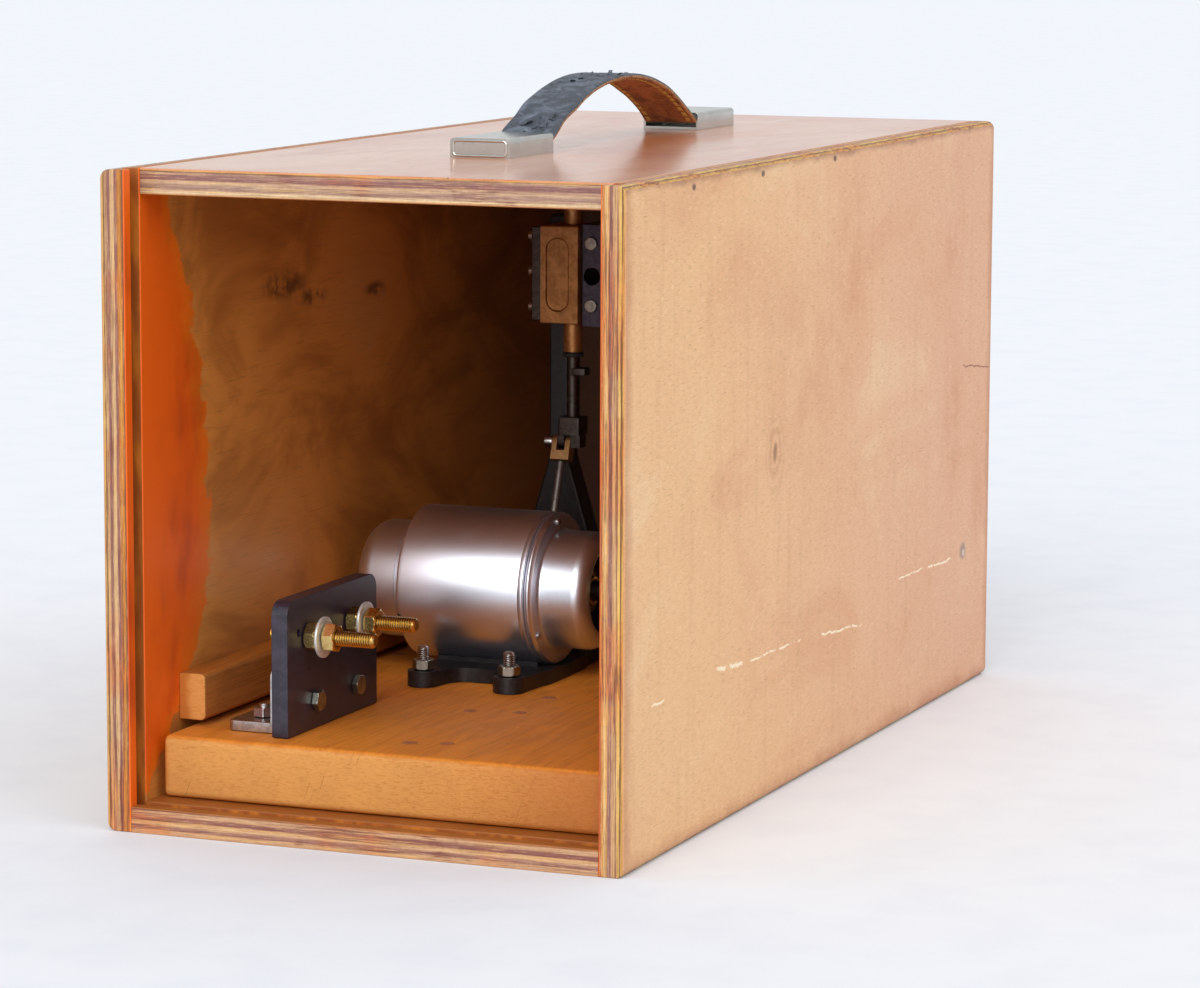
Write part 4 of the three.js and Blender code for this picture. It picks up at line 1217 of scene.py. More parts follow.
@dataclass
class StrapHandle:
    """The leather strap: a bowed band with a flaking top, stitches and torn bits."""

    centre_x: float = -2.5
    half_width: float = 11.5
    thick: float = 2.4
    front: float = -60.5
    rear: float = 99.5
    foot: float = 253.1
    apex: float = 22.0
    rise: float = 22.0
    power: float = 2.1
    rows: int = 150
    columns: int = 34
    edge_steps: int = 5
    stitches: int = 34
    stitch_inset: float = 2.4
    flakes: int = 30

    def height(self, y: Array) -> Array:
        """Underside height by y: foot plus rise times one less the power of the distance from the apex."""
        side = np.where(y < self.apex, self.apex - self.front, self.rear - self.apex)
        away = np.clip(np.abs(y - self.apex) / side, 0, 1)
        return self.foot + self.rise * (1 - away**self.power)

    def frame_at(self, y: Array) -> tuple[Array, Array]:
        """The underside's point and its upward normal at y, both as (y, z)."""
        step = 0.05
        low, high = np.clip(y - step, self.front, self.rear), np.clip(y + step, self.front, self.rear)
        slope = (self.height(high) - self.height(low)) / (high - low)
        normal = np.stack([-slope, np.ones_like(slope)], -1) / np.sqrt(1 + slope**2)[..., None]
        return np.stack([y, self.height(y)], -1), normal

    def band(self) -> bpy.types.Object:
        """The band: a rounded rectangle carried along the bow, its top flaking and its sides waving.

        Rows run along the strap and columns run round the section. The top is lowered where noise is low,
        as if its dressing had come off in patches, and the edge wanders by a slow noise.
        """
        half, thick = self.half_width - 1.0, self.thick
        turn = np.linspace(0.06, math.pi - 0.06, self.rows)
        y = self.front + (self.rear - self.front) * (0.5 - 0.5 * np.cos(turn))
        y[0], y[-1] = self.front, self.rear
        across = np.linspace(-1, 1, self.columns)
        quarter = np.linspace(-math.pi / 2, math.pi / 2, self.edge_steps + 2)[1:-1]
        side_x, side_z = half + np.cos(quarter), thick / 2 + np.sin(quarter) * thick / 2
        x = np.concatenate([across * half, side_x, -across * half, -side_x])
        z = np.concatenate([across * 0, side_z, across * 0 + thick, side_z[::-1]])
        below = self.columns
        above = slice(below + self.edge_steps, 2 * below + self.edge_steps)
        along = y[:, None] + 0 * x[None, :]
        wide = x[None, :] + np.sign(x)[None, :] * (value_noise(along * 0.09, x * 0 + 3.0, 5) - 0.5) * 0.9
        lift = z[None, :] + 0 * along
        coarse = value_noise(along * 0.22 + 9, wide * 0.22 + 9, 11)
        fine = value_noise(along * 0.8 + 9, wide * 0.8 + 9, 12)
        flaky = np.clip(1 - np.abs(along - 16) / 34, 0, 1) + np.clip(1 - np.abs(along + 52) / 16, 0, 1)
        loss = 0.24 + 0.5 * flaky
        lift[:, above] -= (np.clip(0.52 - coarse, 0, 1) * loss * 2.2 + (1 - fine) * 0.20)[:, above]
        lift[:, :below] += (0.22 * fine)[:, :below]
        point, normal = self.frame_at(y)
        turned_up = point[:, None, :] + normal[:, None, :] * lift[..., None]
        grid = np.concatenate([(self.centre_x + wide)[..., None], turned_up], -1)
        middle = grid[:, :below].mean(1, keepdims=True) * 0.5 + grid[:, above].mean(1, keepdims=True) * 0.5
        caps = [np.broadcast_to(row, (1, len(x), 3)) for row in (middle[:1], middle[-1:])]
        piece = skin("strap_band", np.concatenate([caps[0], grid, caps[1]]))
        self._mark_side(piece.data, point, normal)
        return piece

    def _mark_side(self, mesh: bpy.types.Mesh, point: Array, normal: Array) -> None:
        """Writes the attribute "side": 0 on top of the strap, 1 below, by height above the underside."""
        at = corners(mesh)
        nearest = np.clip(np.searchsorted(point[:, 0], at[:, 1]), 0, len(point) - 1)
        height = np.sum((at[:, 1:] - point[nearest]) * normal[nearest], -1)
        mark(mesh, "side", np.clip(1 - height / self.thick * 1.15, 0, 1))

    def small_sheets(
        self, name: str, y: Array, x: Array, size: Array, heading: Array, curl: Array, lift: float, seed: int
    ) -> bpy.types.Object:
        """Many little curled closed chips in one mesh.

        Each chip is a 5 by 4 grid in its own plane, turned by its heading, lifted by curl times the square of
        its length, and doubled 0.25 mm below itself, with its rim closed.

        Args:
            name: the piece's name.
            y: where each chip sits along the strap.
            x: where it sits across.
            size: its half length.
            heading: its turn, radians.
            curl: how much it lifts.
            lift: height above the underside, mm.
            seed: seed of its ragged outline.

        Returns:
            The object.
        """
        count = len(y)
        rng = np.random.default_rng(seed)
        s, t = np.meshgrid(np.linspace(-1, 1, 5), np.linspace(-1, 1, 4), indexing="ij")
        ragged = 1 + (rng.random((count, 5, 4)) - 0.5) * 0.5
        u = s[None] * size[:, None, None] * ragged
        v = t[None] * size[:, None, None] * 0.55 * ragged
        up = lift + curl[:, None, None] * (s[None] + 1) ** 2 * size[:, None, None]
        cos, sin = np.cos(heading)[:, None, None], np.sin(heading)[:, None, None]
        along, wide = y[:, None, None] + u * cos - v * sin, x[:, None, None] + u * sin + v * cos
        point, normal = self.frame_at(np.clip(along, self.front + 0.2, self.rear - 0.2))
        top = np.concatenate([(self.centre_x + wide)[..., None], point + normal * up[..., None]], -1)
        under = top - np.concatenate([0 * wide[..., None], normal * 0.25], -1)
        points = np.stack([top, under], 1).reshape(-1, 3) * MM
        i, j = np.meshgrid(np.arange(4), np.arange(3), indexing="ij")
        face = np.stack([i * 4 + j, (i + 1) * 4 + j, (i + 1) * 4 + j + 1, i * 4 + j + 1], -1).reshape(-1, 4)
        rim = np.array([0, 4, 8, 12, 16, 17, 18, 19, 15, 11, 7, 3, 2, 1])
        after = np.roll(rim, -1)
        wall = np.stack([after, rim, rim + 20, after + 20], -1)
        one = np.concatenate([face, face[:, ::-1] + 20, wall])
        cells = (one[None] + (np.arange(count) * 40)[:, None, None]).reshape(-1, 4)
        piece = solid(name, points, cells)
        mark(piece.data, "side", np.zeros(len(piece.data.vertices)))
        return piece

    def build(self, bench: Bench) -> None:
        """Builds and dresses the band, the flakes and the stitches."""
        bench.place(self.band(), "case", "strap_leather", "strap_leather", "handle_strap")
        rng = np.random.default_rng(21)
        count = self.flakes
        y = np.where(rng.random(count) < 0.62, rng.normal(14, 15, count), rng.normal(-50, 6, count))
        x = (rng.random(count) * 2 - 1) * (self.half_width - 2.5)
        flakes = self.small_sheets(
            "strap_flakes", np.clip(y, self.front + 4, self.rear - 6), x, 0.7 + rng.random(count) * 1.4,
            rng.random(count) * 6.28, rng.random(count) * 0.22, self.thick - 0.2, 8,
        )  # fmt: skip
        bench.place(flakes, "case", "strap_leather", "strap_leather")
        inset = self.half_width - self.stitch_inset
        for side, at in (("right", inset), ("left", -inset)):
            y = np.linspace(self.front + 3, self.rear - 3, self.stitches)
            flat = np.zeros(self.stitches)
            row = self.small_sheets(f"strap_stitches_{side}", y, flat + at, flat + 1.45, flat, flat, 0.04, 3)
            bench.place(row, "case", "strap_leather", "stitch_thread")


@dataclass
class BaseBoard:
    """The sliding board, with filled screw holes in its top."""

    edge: float = 1.2
    top: float = 34.0
    plug_radius: float = 3.1
    plugs: tuple[Pair, ...] = (
        (-81.8, -8.7), (-3.6, -112.0), (1.0, -179.0), (14.6, -175.0), (16.0, -108.0), (14.4, -75.0),
    )  # fmt: skip

    def build(self, bench: Bench) -> None:
        """Builds the board and its plugs, each a shallow dome with a dimple in the middle."""
        bench.refine("base_board", self.edge, "board_wood", "board_timber", 3)
        r = self.plug_radius
        dome = [(0, -0.3), (r, -0.3), (r, 0.05), (r * 0.86, 0.22), (r * 0.45, 0.26), (r * 0.3, 0.10), (0, 0.08)]
        for number, (x, y) in enumerate(self.plugs, 1):
            shrink = 1 - 0.08 * (number % 3)
            profile = [(a * shrink, b) for a, b in dome]
            piece = turned(f"board_plug_{number}", profile, Axis.Z, (x, y, self.top), 28)
            bench.place(piece, "board", "board_wood", "plug_filler")


@dataclass
class TerminalBlock:
    """The ebonite plate on its steel angle, with two threaded posts, nuts, washers and screws."""

    post_y: Pair = (-173.7, -136.2)
    post_z: float = 71.0
    post_radius: float = 3.0
    post_ends: Pair = (-59.2, -15.5)
    nut: HexNut = field(default_factory=lambda: HexNut(10.0, 5.0, 3.05, 0.2))
    clamp_x: float = -43.7
    washer_x: float = -37.8
    loose_x: float = -36.2
    back_x: float = -56.0
    screw_y: Pair = (-167.0, -131.0)
    screw_z: float = 45.0
    screw_x: float = -43.7

    def build(self, bench: Bench) -> None:
        """Builds the plate, angle, posts and fastenings."""
        bench.refine("terminal_plate", 0.9, "ebonite", "ebonite", 3)
        bench.refine("terminal_angle", 0.5, "bare_steel", "pale_steel", 2)
        for number in (1, 2):
            bench.refine(f"angle_bolt_{number}", 0.35, "zinc_steel", "pale_steel", 2)
        for number, y in enumerate(self.post_y, 1):
            self._post(bench, number, y)
        for number, y in enumerate(self.screw_y, 1):
            self._screw(bench, number, y)

    def _post(self, bench: Bench, number: int, y: float) -> None:
        """One threaded post with its back nut, clamp nut, washer and loose nut."""
        at = (0.0, y, self.post_z)
        low, high = self.post_ends
        stud = Thread(self.post_radius).build(f"post_thread_{number}", Axis.X, at, low, high)
        bench.place(stud, "board", "brass", "thread_brass", f"terminal_stud_{number}")
        for name, x, body, node in (
            ("post_back_nut", self.back_x, "board", "terminal_back_nut"),
            ("post_clamp_nut", self.clamp_x, "board", "terminal_clamp_nut"),
            ("post_loose_nut", self.loose_x, f"nut_{number}", "terminal_nut"),
        ):
            turn = 0.12 + 0.3 * number + 0.01 * abs(x)
            nut = HexNut(self.nut.across, self.nut.thick, self.nut.bore, turn)
            piece = nut.build(f"{name}_{number}", Axis.X, (x, y, self.post_z))
            bench.place(piece, body, "brass", "turned_brass", f"{node}_{number}")
        profile = [(3.3, 0.1), (7.9, 0.1), (7.9, 1.15), (3.3, 1.15)]
        washer = turned(f"post_washer_{number}", profile, Axis.X, (self.washer_x, y, self.post_z), 56, 0.22)
        bench.place(washer, f"washer_{number}", "zinc_steel", "bright_zinc", f"terminal_washer_{number}")

    def _screw(self, bench: Bench, number: int, y: float) -> None:
        """One hexagon screw through the plate's foot, with a domed chamfered head."""
        node = f"plate_screw_{number}"
        low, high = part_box(node)
        at = (self.screw_x, y, self.screw_z)
        head = HexNut(7.4, high.x / MM - self.screw_x - 0.12, 0.0, 0.35 * number, False)
        bench.place(head.build(f"plate_head_{number}", Axis.X, at), "board", "zinc_steel", "zinc_plate", node)
        reach = low.x / MM - self.screw_x
        shank = Thread(2.0, 0.8, 0.3).build(f"plate_shank_{number}", Axis.X, at, reach, -0.02)
        bench.place(shank, "board", "zinc_steel", "zinc_plate")


def arc(radius: float, along: float, size: float, start: float, end: float, steps: int = 9) -> Outline:
    """Points of an arc in a lathe outline.

    Args:
        radius: radius of the arc's centre, mm.
        along: position of its centre along the axis, mm.
        size: the arc's own radius, mm.
        start: first angle from the outward direction, degrees.
        end: last angle, degrees.
        steps: number of points.

    Returns:
        The points as (radius, along).
    """
    turn = np.radians(np.linspace(start, end, steps))
    return list(zip(radius + size * np.cos(turn), along + size * np.sin(turn)))


def slab(name: str, low: Triple, high: Triple, edge: float) -> bpy.types.Object:
    """A block with rounded edges.

    Its section is a rectangle whose corners are quarter circles; it shrinks by the edge radius at each end as
    one less the square root of one less the square of the way in.

    Args:
        name: the piece's name.
        low: lowest corner, mm.
        high: highest corner, mm.
        edge: radius of every edge, mm.

    Returns:
        The object.
    """
    low_point, high_point = np.array(low), np.array(high)
    middle, half = (low_point + high_point) / 2, (high_point - low_point) / 2
    quarter = np.radians(np.linspace(0, 90, 5))
    turn = np.concatenate([quarter + k * math.pi / 2 for k in range(4)])
    sign_x = np.repeat([1, -1, -1, 1], 5)
    sign_y = np.repeat([1, 1, -1, -1], 5)
    way = np.linspace(0, 1, 5)
    inset = edge * (1 - np.sqrt(np.clip(1 - (1 - way) ** 2, 0, 1)))
    shrink = np.concatenate([inset, inset[::-1]])[:, None]
    height = np.concatenate([-half[2] + way * edge, half[2] - way[::-1] * edge])[:, None]
    core = half[:2] - edge
    x = sign_x * core[0] + (edge - shrink) * np.cos(turn)
    y = sign_y * core[1] + (edge - shrink) * np.sin(turn)
    grid = np.stack([x, y, height + 0 * x], -1) + middle
    centre = [np.broadcast_to(middle + [0, 0, s * half[2]], (1, 20, 3)) for s in (-1, 1)]
    return skin(name, np.concatenate([centre[0], grid, centre[1]]))


@dataclass
class Motor:
    """The cylindrical motor: drawn body, left cover, flanged right shield, bushes and rotor."""

    y: float = -30.0
    z: float = 70.5
    radius: float = 31.2
    left: float = -59.0
    right: float = -3.1
    wall: float = 2.7
    cover: float = 24.0
    cover_end: float = -82.0
    cover_wall: float = 2.5
    shoulder: float = 8.0
    shield_end: float = 20.5
    screw_circle: float = 27.8
    screw_angles: Triple = (95.0, 215.0, 335.0)
    pin_angle: float = 199.0

    def rim_point(self, x: float, radius: float, degrees: float) -> Triple:
        """The point at x on a circle about the motor's axis, by its angle from the back."""
        turn = math.radians(degrees)
        return (x, self.y + radius * math.cos(turn), self.z + radius * math.sin(turn))

    def lathe(self, name: str, profile: Outline, sides: int = 128, fillet: float = 0.0) -> bpy.types.Object:
        """Turns a profile about the motor's axis."""
        return turned(name, profile, Axis.X, (0.0, self.y, self.z), sides, fillet)

    def body(self) -> Outline:
        """Outline of the drawn body, with rolled edges and a shallow bead near its right end."""
        r, inner = self.radius, self.radius - self.wall
        outline = [(21.5, self.left)] + arc(r - 1.1, self.left + 1.1, 1.1, -90, 0, 7)
        outline += [(r, self.left + 2.2), (r, self.right - 2.6)]
        outline += [(r - 0.12, self.right - 2.3), (r, self.right - 2.0)]
        outline += arc(r - 0.8, self.right - 0.8, 0.8, 0, 90, 6)
        return outline + [(inner, self.right), (inner, self.left + self.wall), (21.5, self.left + self.wall)]

    def left_cover(self) -> Outline:
        """Outline of the left cover: a cup with a big round shoulder, a seam bead and a bearing boss inside."""
        r, end, wall, shoulder = self.cover, self.cover_end, self.cover_wall, self.shoulder
        outline = [(0, end)] + arc(r - shoulder, end + shoulder, shoulder, -90, 0, 14)
        outline += [(r, -63.2), (r - 0.35, -62.9), (r - 0.35, -62.5), (r, -62.2), (r, -59.5)]
        outline += [(r - 0.2, -59.3), (r - wall, -59.3), (r - wall, end + shoulder)]
        outline += [(r - shoulder, end + wall), (10.5, end + wall), (10.5, end + 10)]
        return outline + [(7.3, end + 10), (7.3, end + 3), (0, end + 3)]

    def shield(self) -> Outline:
        """Outline of the right shield: a flange with a stepped rim, then a cup turned in around the bearing."""
        r, end = self.cover, self.shield_end
        outline = [(21.5, -2.8), (30.4, -2.8), (30.6, -2.5)] + arc(self.radius - 0.9, -1.3, 0.9, -60, 60, 8)
        outline += [(30.2, 0.5), (r + 1.2, 0.5)] + arc(r + 1.2, 1.7, 1.2, -90, -180, 6)
        outline += arc(r - 6, end - 6, 6, 0, 90, 12)
        outline += [(17.4, end), (17.0, end - 0.4), (17.0, 12.0), (7.3, 12.0)]
        return outline + [(7.3, 4.0), (11, 4.0), (11, 9.0), (21.5, 9.0)]

    def rotor(self) -> Outline:
        """Outline of the armature and shaft."""
        return [
            (0, -78), (3.6, -78), (4, -77.6), (4, -50), (19.6, -50), (20, -49.6), (20, -14.4), (19.6, -14),
            (10, -14), (10, -6), (4, -6), (4, 39.5), (3.5, 40), (0, 40),
        ]  # fmt: skip

    def build(self, bench: Bench) -> None:
        """Builds and dresses the motor."""
        coils = [(21.5, -52), (28.2, -52), (28.2, -12), (21.5, -12)]
        bearing = [(4.3, -78.4), (7, -78.4), (7, -72), (4.3, -72)]
        for name, profile, slot, finish, node in (
            ("motor_shell", self.body(), "aluminium", "brushed_aluminium", "motor_body"),
            ("motor_cover", self.left_cover(), "aluminium", "brushed_aluminium", "motor_left_cover"),
            ("motor_shield", self.shield(), "aluminium", "brushed_aluminium", "motor_right_shield"),
            ("motor_coils", coils, "field_iron", "field_iron", "motor_field_ring"),
            ("motor_bearing_left", bearing, "brass", "turned_brass", "motor_bush_left"),
        ):
            bench.place(self.lathe(name, profile), "board", slot, finish, node)
        bush = [(4.3, 4), (7, 4), (7, 12.3), (9, 12.3), (9, 14.2), (6, 14.4), (6, 15.8), (4.3, 15.8)]
        piece = self.lathe("motor_bearing_right", bush, 64, 0.25)
        bench.place(piece, "board", "brass", "turned_brass", "motor_bush_right")
        pan = [(9.4, 12.05), (16.9, 12.05), (16.9, 19.6), (16.4, 19.6), (16.3, 12.5), (9.4, 12.5)]
        bench.place(self.lathe("motor_bearing_pan", pan, 96), "board", "black_casting", "black_casting")
        rotor = self.lathe("motor_rotor_shaft", self.rotor(), 64)
        bench.place(rotor, "motor_rotor", "dark_steel", "dark_steel", "motor_armature")
        head = [(0, 0.4), (1.5, 0.4), (1.5, 1.0), (1.1, 1.35), (0.4, 1.4), (0, 1.1)]
        for number, angle in enumerate(self.screw_angles, 1):
            at = self.rim_point(0.0, self.screw_circle, angle)
            bench.place(turned(f"flange_screw_{number}", head, Axis.X, at, 20), "board", "bare_steel", "pale_steel")
        at = self.rim_point(self.left + 0.9, self.radius - 0.4, self.pin_angle)
        pin = [(0, -0.8), (0.5, -0.8), (0.7, -0.4), (0.7, 0.4), (0.5, 0.8), (0, 0.8)]
        bench.place(turned("seam_pin", pin, Axis.X, at, 16), "board", "dark_steel", "dark_steel")


@dataclass
class MotorMount:
    """The black foot casting and its four bolts."""

    edge: float = 0.9
    lug_x: Pair = (-42.5, -5.0)
    lug_y: Pair = (-70.0, 10.0)
    nut_low: float = 40.9
    nut_high: float = 45.0
    bolt_low: float = 35.3
    bolt_high: float = 50.5

    def build(self, bench: Bench) -> None:
        """Builds the casting, and on each lug a washer-faced nut on a threaded bolt end."""
        bench.refine("motor_foot", self.edge, "black_casting", "black_casting", 3)
        corners = [(x, y) for y in self.lug_y for x in self.lug_x]
        for number, (x, y) in enumerate(corners, 1):
            nut = HexNut(8.0, self.nut_high - self.nut_low, 2.55, 0.3 + number)
            piece = nut.build(f"mount_nut_{number}", Axis.Z, (x, y, self.nut_low))
            bench.place(piece, "board", "zinc_steel", "zinc_plate", f"motor_bolt_{number}")
            thread, at = Thread(2.5, 0.8, 0.35), (x, y, 0.0)
            bolt = thread.build(f"mount_bolt_{number}", Axis.Z, at, self.bolt_low, self.bolt_high)
            bench.place(bolt, "board", "zinc_steel", "pale_steel")


@dataclass
class BeltDrive:
    """Two grooved pulleys, the belt, and the bearing pedestal with its cross shaft."""

    motor_at: Pair = (-30.0, 70.5)
    cross_at: Pair = (44.5, 67.5)
    small: float = 8.1
    large: float = 18.1
    left: float = 28.0
    right: float = 38.0
    belt_left: float = 31.3
    belt_right: float = 34.7
    belt_thick: float = 3.0
    gap: float = 0.3
    throw: float = 3.0
    large_steps: int = 60
    small_steps: int = 36
    run_steps: int = 22

    def pulley(self, name: str, floor: float, at: tuple[float, float]) -> bpy.types.Object:
        """A pulley: a rim with a groove whose floor has the given radius, and a dished web."""
        rim = floor + self.gap + self.belt_thick + 0.6
        profile = [
            (4.3, self.left), (6.6, self.left), (7.0, self.left + 0.8), (rim - 1.8, self.left + 0.8),
            (rim - 1.2, self.left), (rim, self.left), (rim, self.belt_left - 1.1), (floor, self.belt_left - 0.5),
            (floor, self.belt_right + 0.5), (rim, self.belt_right + 1.1), (rim, self.right), (4.3, self.right),
        ]  # fmt: skip
        return turned(name, profile, Axis.X, (0.0, *at), 80, 0.2)

    def belt(self) -> bpy.types.Object:
        """The belt: a rounded section carried round two arcs and the two straight runs between them.

        The arcs' ends are where a line touches both circles: the wrap angle has the cosine of the radii's
        difference over the distance between the centres.
        """
        middle = self.gap + self.belt_thick / 2
        small, large = self.small + middle, self.large + middle
        dy, dz = self.cross_at[0] - self.motor_at[0], self.cross_at[1] - self.motor_at[1]
        slope, wrap = math.atan2(dz, dy), math.acos((small - large) / math.hypot(dy, dz))
        most, least, straight = self.large_steps, self.small_steps, self.run_steps
        big = np.linspace(slope - wrap, slope + wrap, most)
        little = np.linspace(slope + wrap, slope - wrap + 2 * math.pi, least)
        centre = np.concatenate([np.tile(self.cross_at, (most, 1)), np.tile(self.motor_at, (least, 1))])
        reach = np.concatenate([np.full(most, large), np.full(least, small)])
        angle = np.concatenate([big, little])
        run = np.linspace(0, 1, straight + 2)[1:-1, None]
        outward = np.stack([np.cos(angle), np.sin(angle)], -1)
        path = centre + outward * reach[:, None]
        first = path[most - 1] * (1 - run) + path[most] * run
        second = path[-1] * (1 - run) + path[0] * run
        path = np.concatenate([path[:most], first, path[most:], second])
        held = [np.tile(outward[k], (straight, 1)) for k in (most - 1, 0)]
        facing = np.concatenate([outward[:most], held[0], outward[most:], held[1]])
        half_wide, half_thick = (self.belt_right - self.belt_left) / 2, self.belt_thick / 2
        turn = around(24)
        wide = np.sign(np.cos(turn)) * np.abs(np.cos(turn)) ** 0.45 * half_wide
        thick = np.sign(np.sin(turn)) * np.abs(np.sin(turn)) ** 0.45 * half_thick
        x = (self.belt_left + self.belt_right) / 2 + wide[None, :] + 0 * path[:, :1]
        yz = path[:, None, :] + facing[:, None, :] * thick[None, :, None]
        return skin("drive_belt_loop", np.concatenate([x[..., None], yz], -1), wrap_rows=True)

    def build(self, bench: Bench) -> None:
        """Builds and dresses the drive."""
        cross = (0.0, *self.cross_at)
        bench.refine("shaft_pedestal", 0.8, "black_casting", "black_casting", 3)
        bush = turned("cross_bearing", [(4.3, -16), (7, -16), (7, 20), (4.3, 20)], Axis.X, cross, 64, 0.4)
        bench.place(bush, "board", "bronze", "tan_bronze", "shaft_bush")
        bench.place(self.belt(), "board", "belt_rubber", "belt_rubber", "drive_belt")
        shaft = [(0, -28.7), (4, -28.7), (4, 41.5), (3.5, 42), (0, 42)]
        bar = turned("cross_shaft_bar", shaft, Axis.X, cross, 48)
        bench.place(bar, "crank", "dark_steel", "pale_steel", "cross_shaft")
        wheel = self.pulley("driven_wheel", self.large, self.cross_at)
        bench.place(wheel, "crank", "brass", "turned_brass", "driven_pulley")
        wheel = self.pulley("motor_wheel", self.small, self.motor_at)
        bench.place(wheel, "motor_rotor", "brass", "turned_brass", "motor_pulley")
        disc = [
            (0, -31), (9.6, -31), (10, -30.6), (10, -27.4), (9.6, -27), (7.3, -27), (7, -26.6), (7, -20.4),
            (6.6, -20), (4.3, -20), (4.3, -29), (0, -29),
        ]  # fmt: skip
        crank = turned("crank_wheel", disc, Axis.X, cross, 72)
        bench.place(crank, "crank", "dark_steel", "dark_steel", "crank_disc")
        stub = [(0, -32.9), (2.2, -32.9), (2.5, -32.6), (2.5, -30.5), (0, -30.5)]
        at = (0.0, self.cross_at[0] - self.throw, self.cross_at[1])
        bench.place(turned("crank_stub", stub, Axis.X, at, 32), "crank", "dark_steel", "pale_steel")


@dataclass
class Linkage:
    """The plunger, its crosshead, and the leaning connecting rod with its fork and pin."""

    x: float = -31.0
    y: float = 60.0
    pin_z: float = 118.0
    rod_x: float = -35.3
    radius: float = 2.85

    def build(self, bench: Bench) -> None:
        """Builds and dresses the linkage."""
        r, top = self.radius, 203.0
        stem = [(0, 129.5), (r, 129.5), (r, top - 0.4), (r - 0.4, top), (0, top)]
        piece = turned("plunger_stem", stem, Axis.Z, (self.x, self.y, 0.0), 48)
        bench.place(piece, "plunger", "dark_steel", "dark_steel", "plunger_rod")
        dog = slab("plunger_dog", (-30.9, 57.0, 147.0), (-24.4, 63.0, 150.3), 0.5)
        bench.place(dog, "plunger", "dark_steel", "dark_steel")
        bench.refine("crosshead", 0.5, "dark_steel", "dark_steel", 3)
        bench.refine("connecting_rod", 0.35, "bare_steel", "grey_iron", 3)
        bench.refine("rod_fork", 0.35, "bronze", "light_bronze", 3)
        pin = [
            (0, -8.3), (2.2, -8.3), (2.6, -7.9), (2.6, -4.9), (2.4, -4.55), (1.5, -4.55), (1.5, 3.6),
            (1.2, 3.85), (0, 3.85),
        ]  # fmt: skip
        piece = turned("fork_pin", pin, Axis.X, (self.rod_x, self.y, self.pin_z), 36)
        bench.place(piece, "connecting_rod", "bare_steel", "pale_steel", "crosshead_pin")


@dataclass
class CylinderHead:
    """The bronze head block between two plates, with its gland, ring, top tube, screws and stubs."""

    x: float = -31.0
    y: float = 60.0
    screw_x: float = -20.2
    screw_face: float = 53.7
    screw_z: Pair = (177.5, 204.0)
    stub_z: tuple[float, float, float] = (176.0, 191.0, 206.0)

    def build(self, bench: Bench) -> None:
        """Builds and dresses the head."""
        bench.refine("head_block", 0.5, "bronze", "tan_bronze", 3)
        bench.refine("head_plate_left", 0.5, "bare_steel", "dark_steel", 3)
        bench.refine("head_plate_right", 0.5, "bare_steel", "blued_steel", 3)
        at = (self.x, self.y, 0.0)
        tube = [(3.2, 157), (3.9, 157), (4.1, 157.3), (4.1, 168.9), (4.1, 169.4), (3.2, 169.4)]
        sleeve = turned("gland_sleeve", tube, Axis.Z, at, 56, 0.2)
        bench.place(sleeve, "board", "brass", "tan_bronze", "gland_tube")
        ring = [(3.2, 155), (4.5, 155), (4.5, 156.7), (3.2, 156.7)]
        seal = turned("gland_seal", ring, Axis.Z, at, 56, 0.5)
        bench.place(seal, "board", "belt_rubber", "belt_rubber", "gland_ring")
        top = [(2, 211.5), (4.1, 211.5), (4.1, 233.4), (3.8, 234), (2, 234)]
        delivery = turned("delivery_tube", top, Axis.Z, at, 56, 0.3)
        bench.place(delivery, "board", "brass", "tan_bronze", "top_tube")
        for number, z in enumerate(self.screw_z, 1):
            head = HexNut(5.2, 1.45, 0.0, 0.4 * number, False)
            piece = self._facing(head, f"head_bolt_{number}", z)
            bench.place(piece, "board", "zinc_steel", "zinc_plate", f"head_screw_{number}")
        stub = [(0, -50.6), (1.7, -50.6), (2.1, -50.2), (2.1, -47.4), (1.4, -47.0), (1.4, -46.6), (0, -46.6)]
        for number, z in enumerate(self.stub_z, 1):
            piece = turned(f"head_stub_{number}", stub, Axis.X, (0.0, self.y - 1.5, z), 28)
            bench.place(piece, "board", "bare_steel", "pale_steel")

    def _facing(self, head: HexNut, name: str, z: float) -> bpy.types.Object:
        """A bolt head that faces the case mouth: built upright, its mesh is then turned to face -y."""
        piece = head.build(name, Axis.Z, (0.0, 0.0, 0.0))
        place = Matrix.Translation(Vector((self.screw_x, self.screw_face, z)) * MM)
        piece.data.transform(place @ Matrix.Rotation(math.pi / 2, 4, "X"))
        return piece


@dataclass
class RearStand:
    """The black casting that carries the cylinder head."""

    edge: float = 1.2

    def build(self, bench: Bench) -> None:
        """Builds and dresses the stand."""
        bench.refine("stand_casting", self.edge, "black_casting", "black_casting", 3)


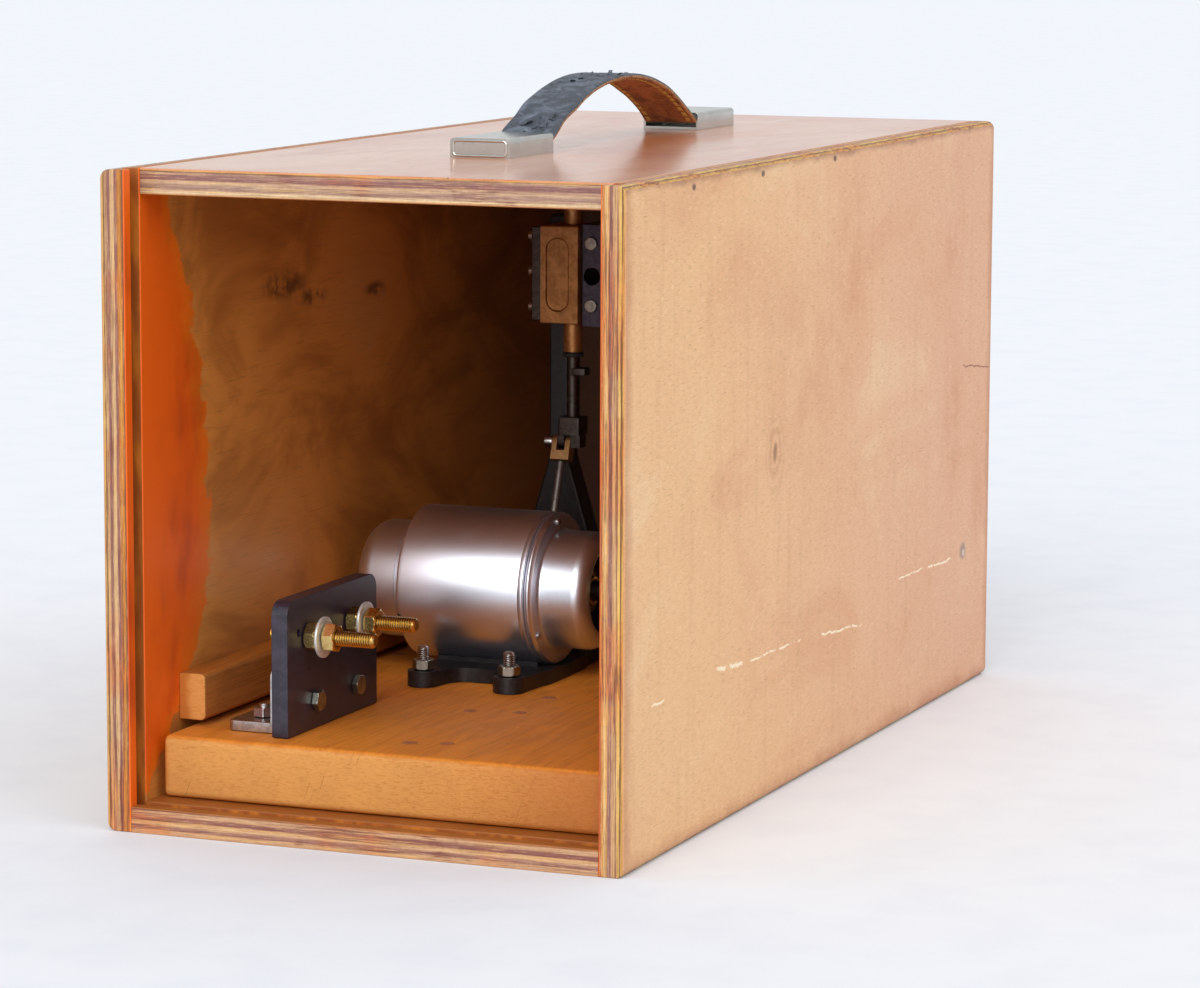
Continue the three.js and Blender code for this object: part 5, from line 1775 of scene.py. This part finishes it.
@dataclass
class Studio:
    """Camera, lights and floor."""

    azimuth: float = 21.96
    elevation: float = 8.13
    roll: float = 0.21
    place: Triple = (0.67417, -1.65773, 0.36102)
    lens_mm: float = 131.4762
    sensor_mm: float = 36.0
    floor_radius: float = 40000.0
    sky: Triple = (0.965, 0.98, 0.995)
    sky_strength: float = 0.79
    front_strength: float = 1.7
    side_strength: float = 0.7

    def camera(self) -> None:
        """Makes the camera, turned by azimuth and elevation and then rolled about its own view."""
        roll = math.radians(self.roll)
        back = self.towards(self.azimuth, self.elevation)
        right = (-back).cross(Vector((0, 0, 1))).normalized()
        up = right.cross(-back)
        right, up = right * math.cos(roll) + up * math.sin(roll), up * math.cos(roll) - right * math.sin(roll)
        data = bpy.data.cameras.new("studio_camera")
        data.sensor_width = self.sensor_mm
        data.lens = self.lens_mm
        data.clip_end = 50
        made = bpy.data.objects.new("studio_camera", data)
        turn = Matrix((right, up, back)).transposed().to_4x4()
        made.matrix_world = Matrix.Translation(Vector(self.place)) @ turn
        bpy.context.scene.collection.objects.link(made)
        bpy.context.scene.camera = made

    @staticmethod
    def towards(azimuth: float, elevation: float) -> Vector:
        """The direction at an azimuth from the case mouth and an elevation, both in degrees."""
        az, el = math.radians(azimuth), math.radians(elevation)
        return Vector((math.sin(az) * math.cos(el), -math.cos(az) * math.cos(el), math.sin(el)))

    def window(
        self, name: str, azimuth: float, elevation: float, spread: float, strength: float, tint: Triple
    ) -> None:
        """Adds a broad distant light, soft as a large window.

        Args:
            name: its name.
            azimuth: degrees round from the case mouth towards its right side.
            elevation: degrees above the floor.
            spread: how wide it looks, degrees.
            strength: watts per square metre.
            tint: its colour.
        """
        data = bpy.data.lights.new(name, "SUN")
        data.angle, data.energy, data.color = math.radians(spread), strength, tint
        made = bpy.data.objects.new(name, data)
        back = self.towards(azimuth, elevation)
        made.matrix_world = back.to_track_quat("Z", "Y").to_matrix().to_4x4()
        bpy.context.scene.collection.objects.link(made)

    def build(self, finishes: Finishes) -> None:
        """Makes the world, the lights and the floor."""
        world = bpy.data.worlds.new("studio_world")
        world.use_nodes = True
        backdrop = world.node_tree.nodes["Background"]
        backdrop.inputs["Color"].default_value = (*self.sky, 1)
        backdrop.inputs["Strength"].default_value = self.sky_strength
        bpy.context.scene.world = world
        bpy.context.scene.view_settings.view_transform = "Standard"
        self.window("front_window", 6.0, 27.0, 46.0, self.front_strength, (1.0, 0.99, 0.975))
        self.window("side_window", 78.0, 36.0, 60.0, self.side_strength, (1.0, 0.985, 0.96))
        profile = [(0, -1.0), (self.floor_radius, -1.0), (self.floor_radius, 0.0), (0, 0.0)]
        floor = turned("studio_floor", profile, Axis.Z, (0.0, 0.0, 0.0), 96)
        floor.data.materials.append(finishes["floor_paper"])


def main() -> None:
    """Builds the studio and every sub-assembly in order."""
    logging.basicConfig(level=logging.INFO, format="%(name)s: %(message)s")
    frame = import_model()
    studio = Studio()
    studio.camera()
    finishes = Finishes()
    studio.build(finishes)
    bench = Bench(frame, finishes)
    for assembly in (
        CarryingCase(), StrapHandle(), BaseBoard(), TerminalBlock(), Motor(), MotorMount(), BeltDrive(),
        Linkage(), CylinderHead(), RearStand(),
    ):  # fmt: skip
        assembly.build(bench)
        LOG.info("%s is built", type(assembly).__name__)


if __name__ == "__main__":
    main()
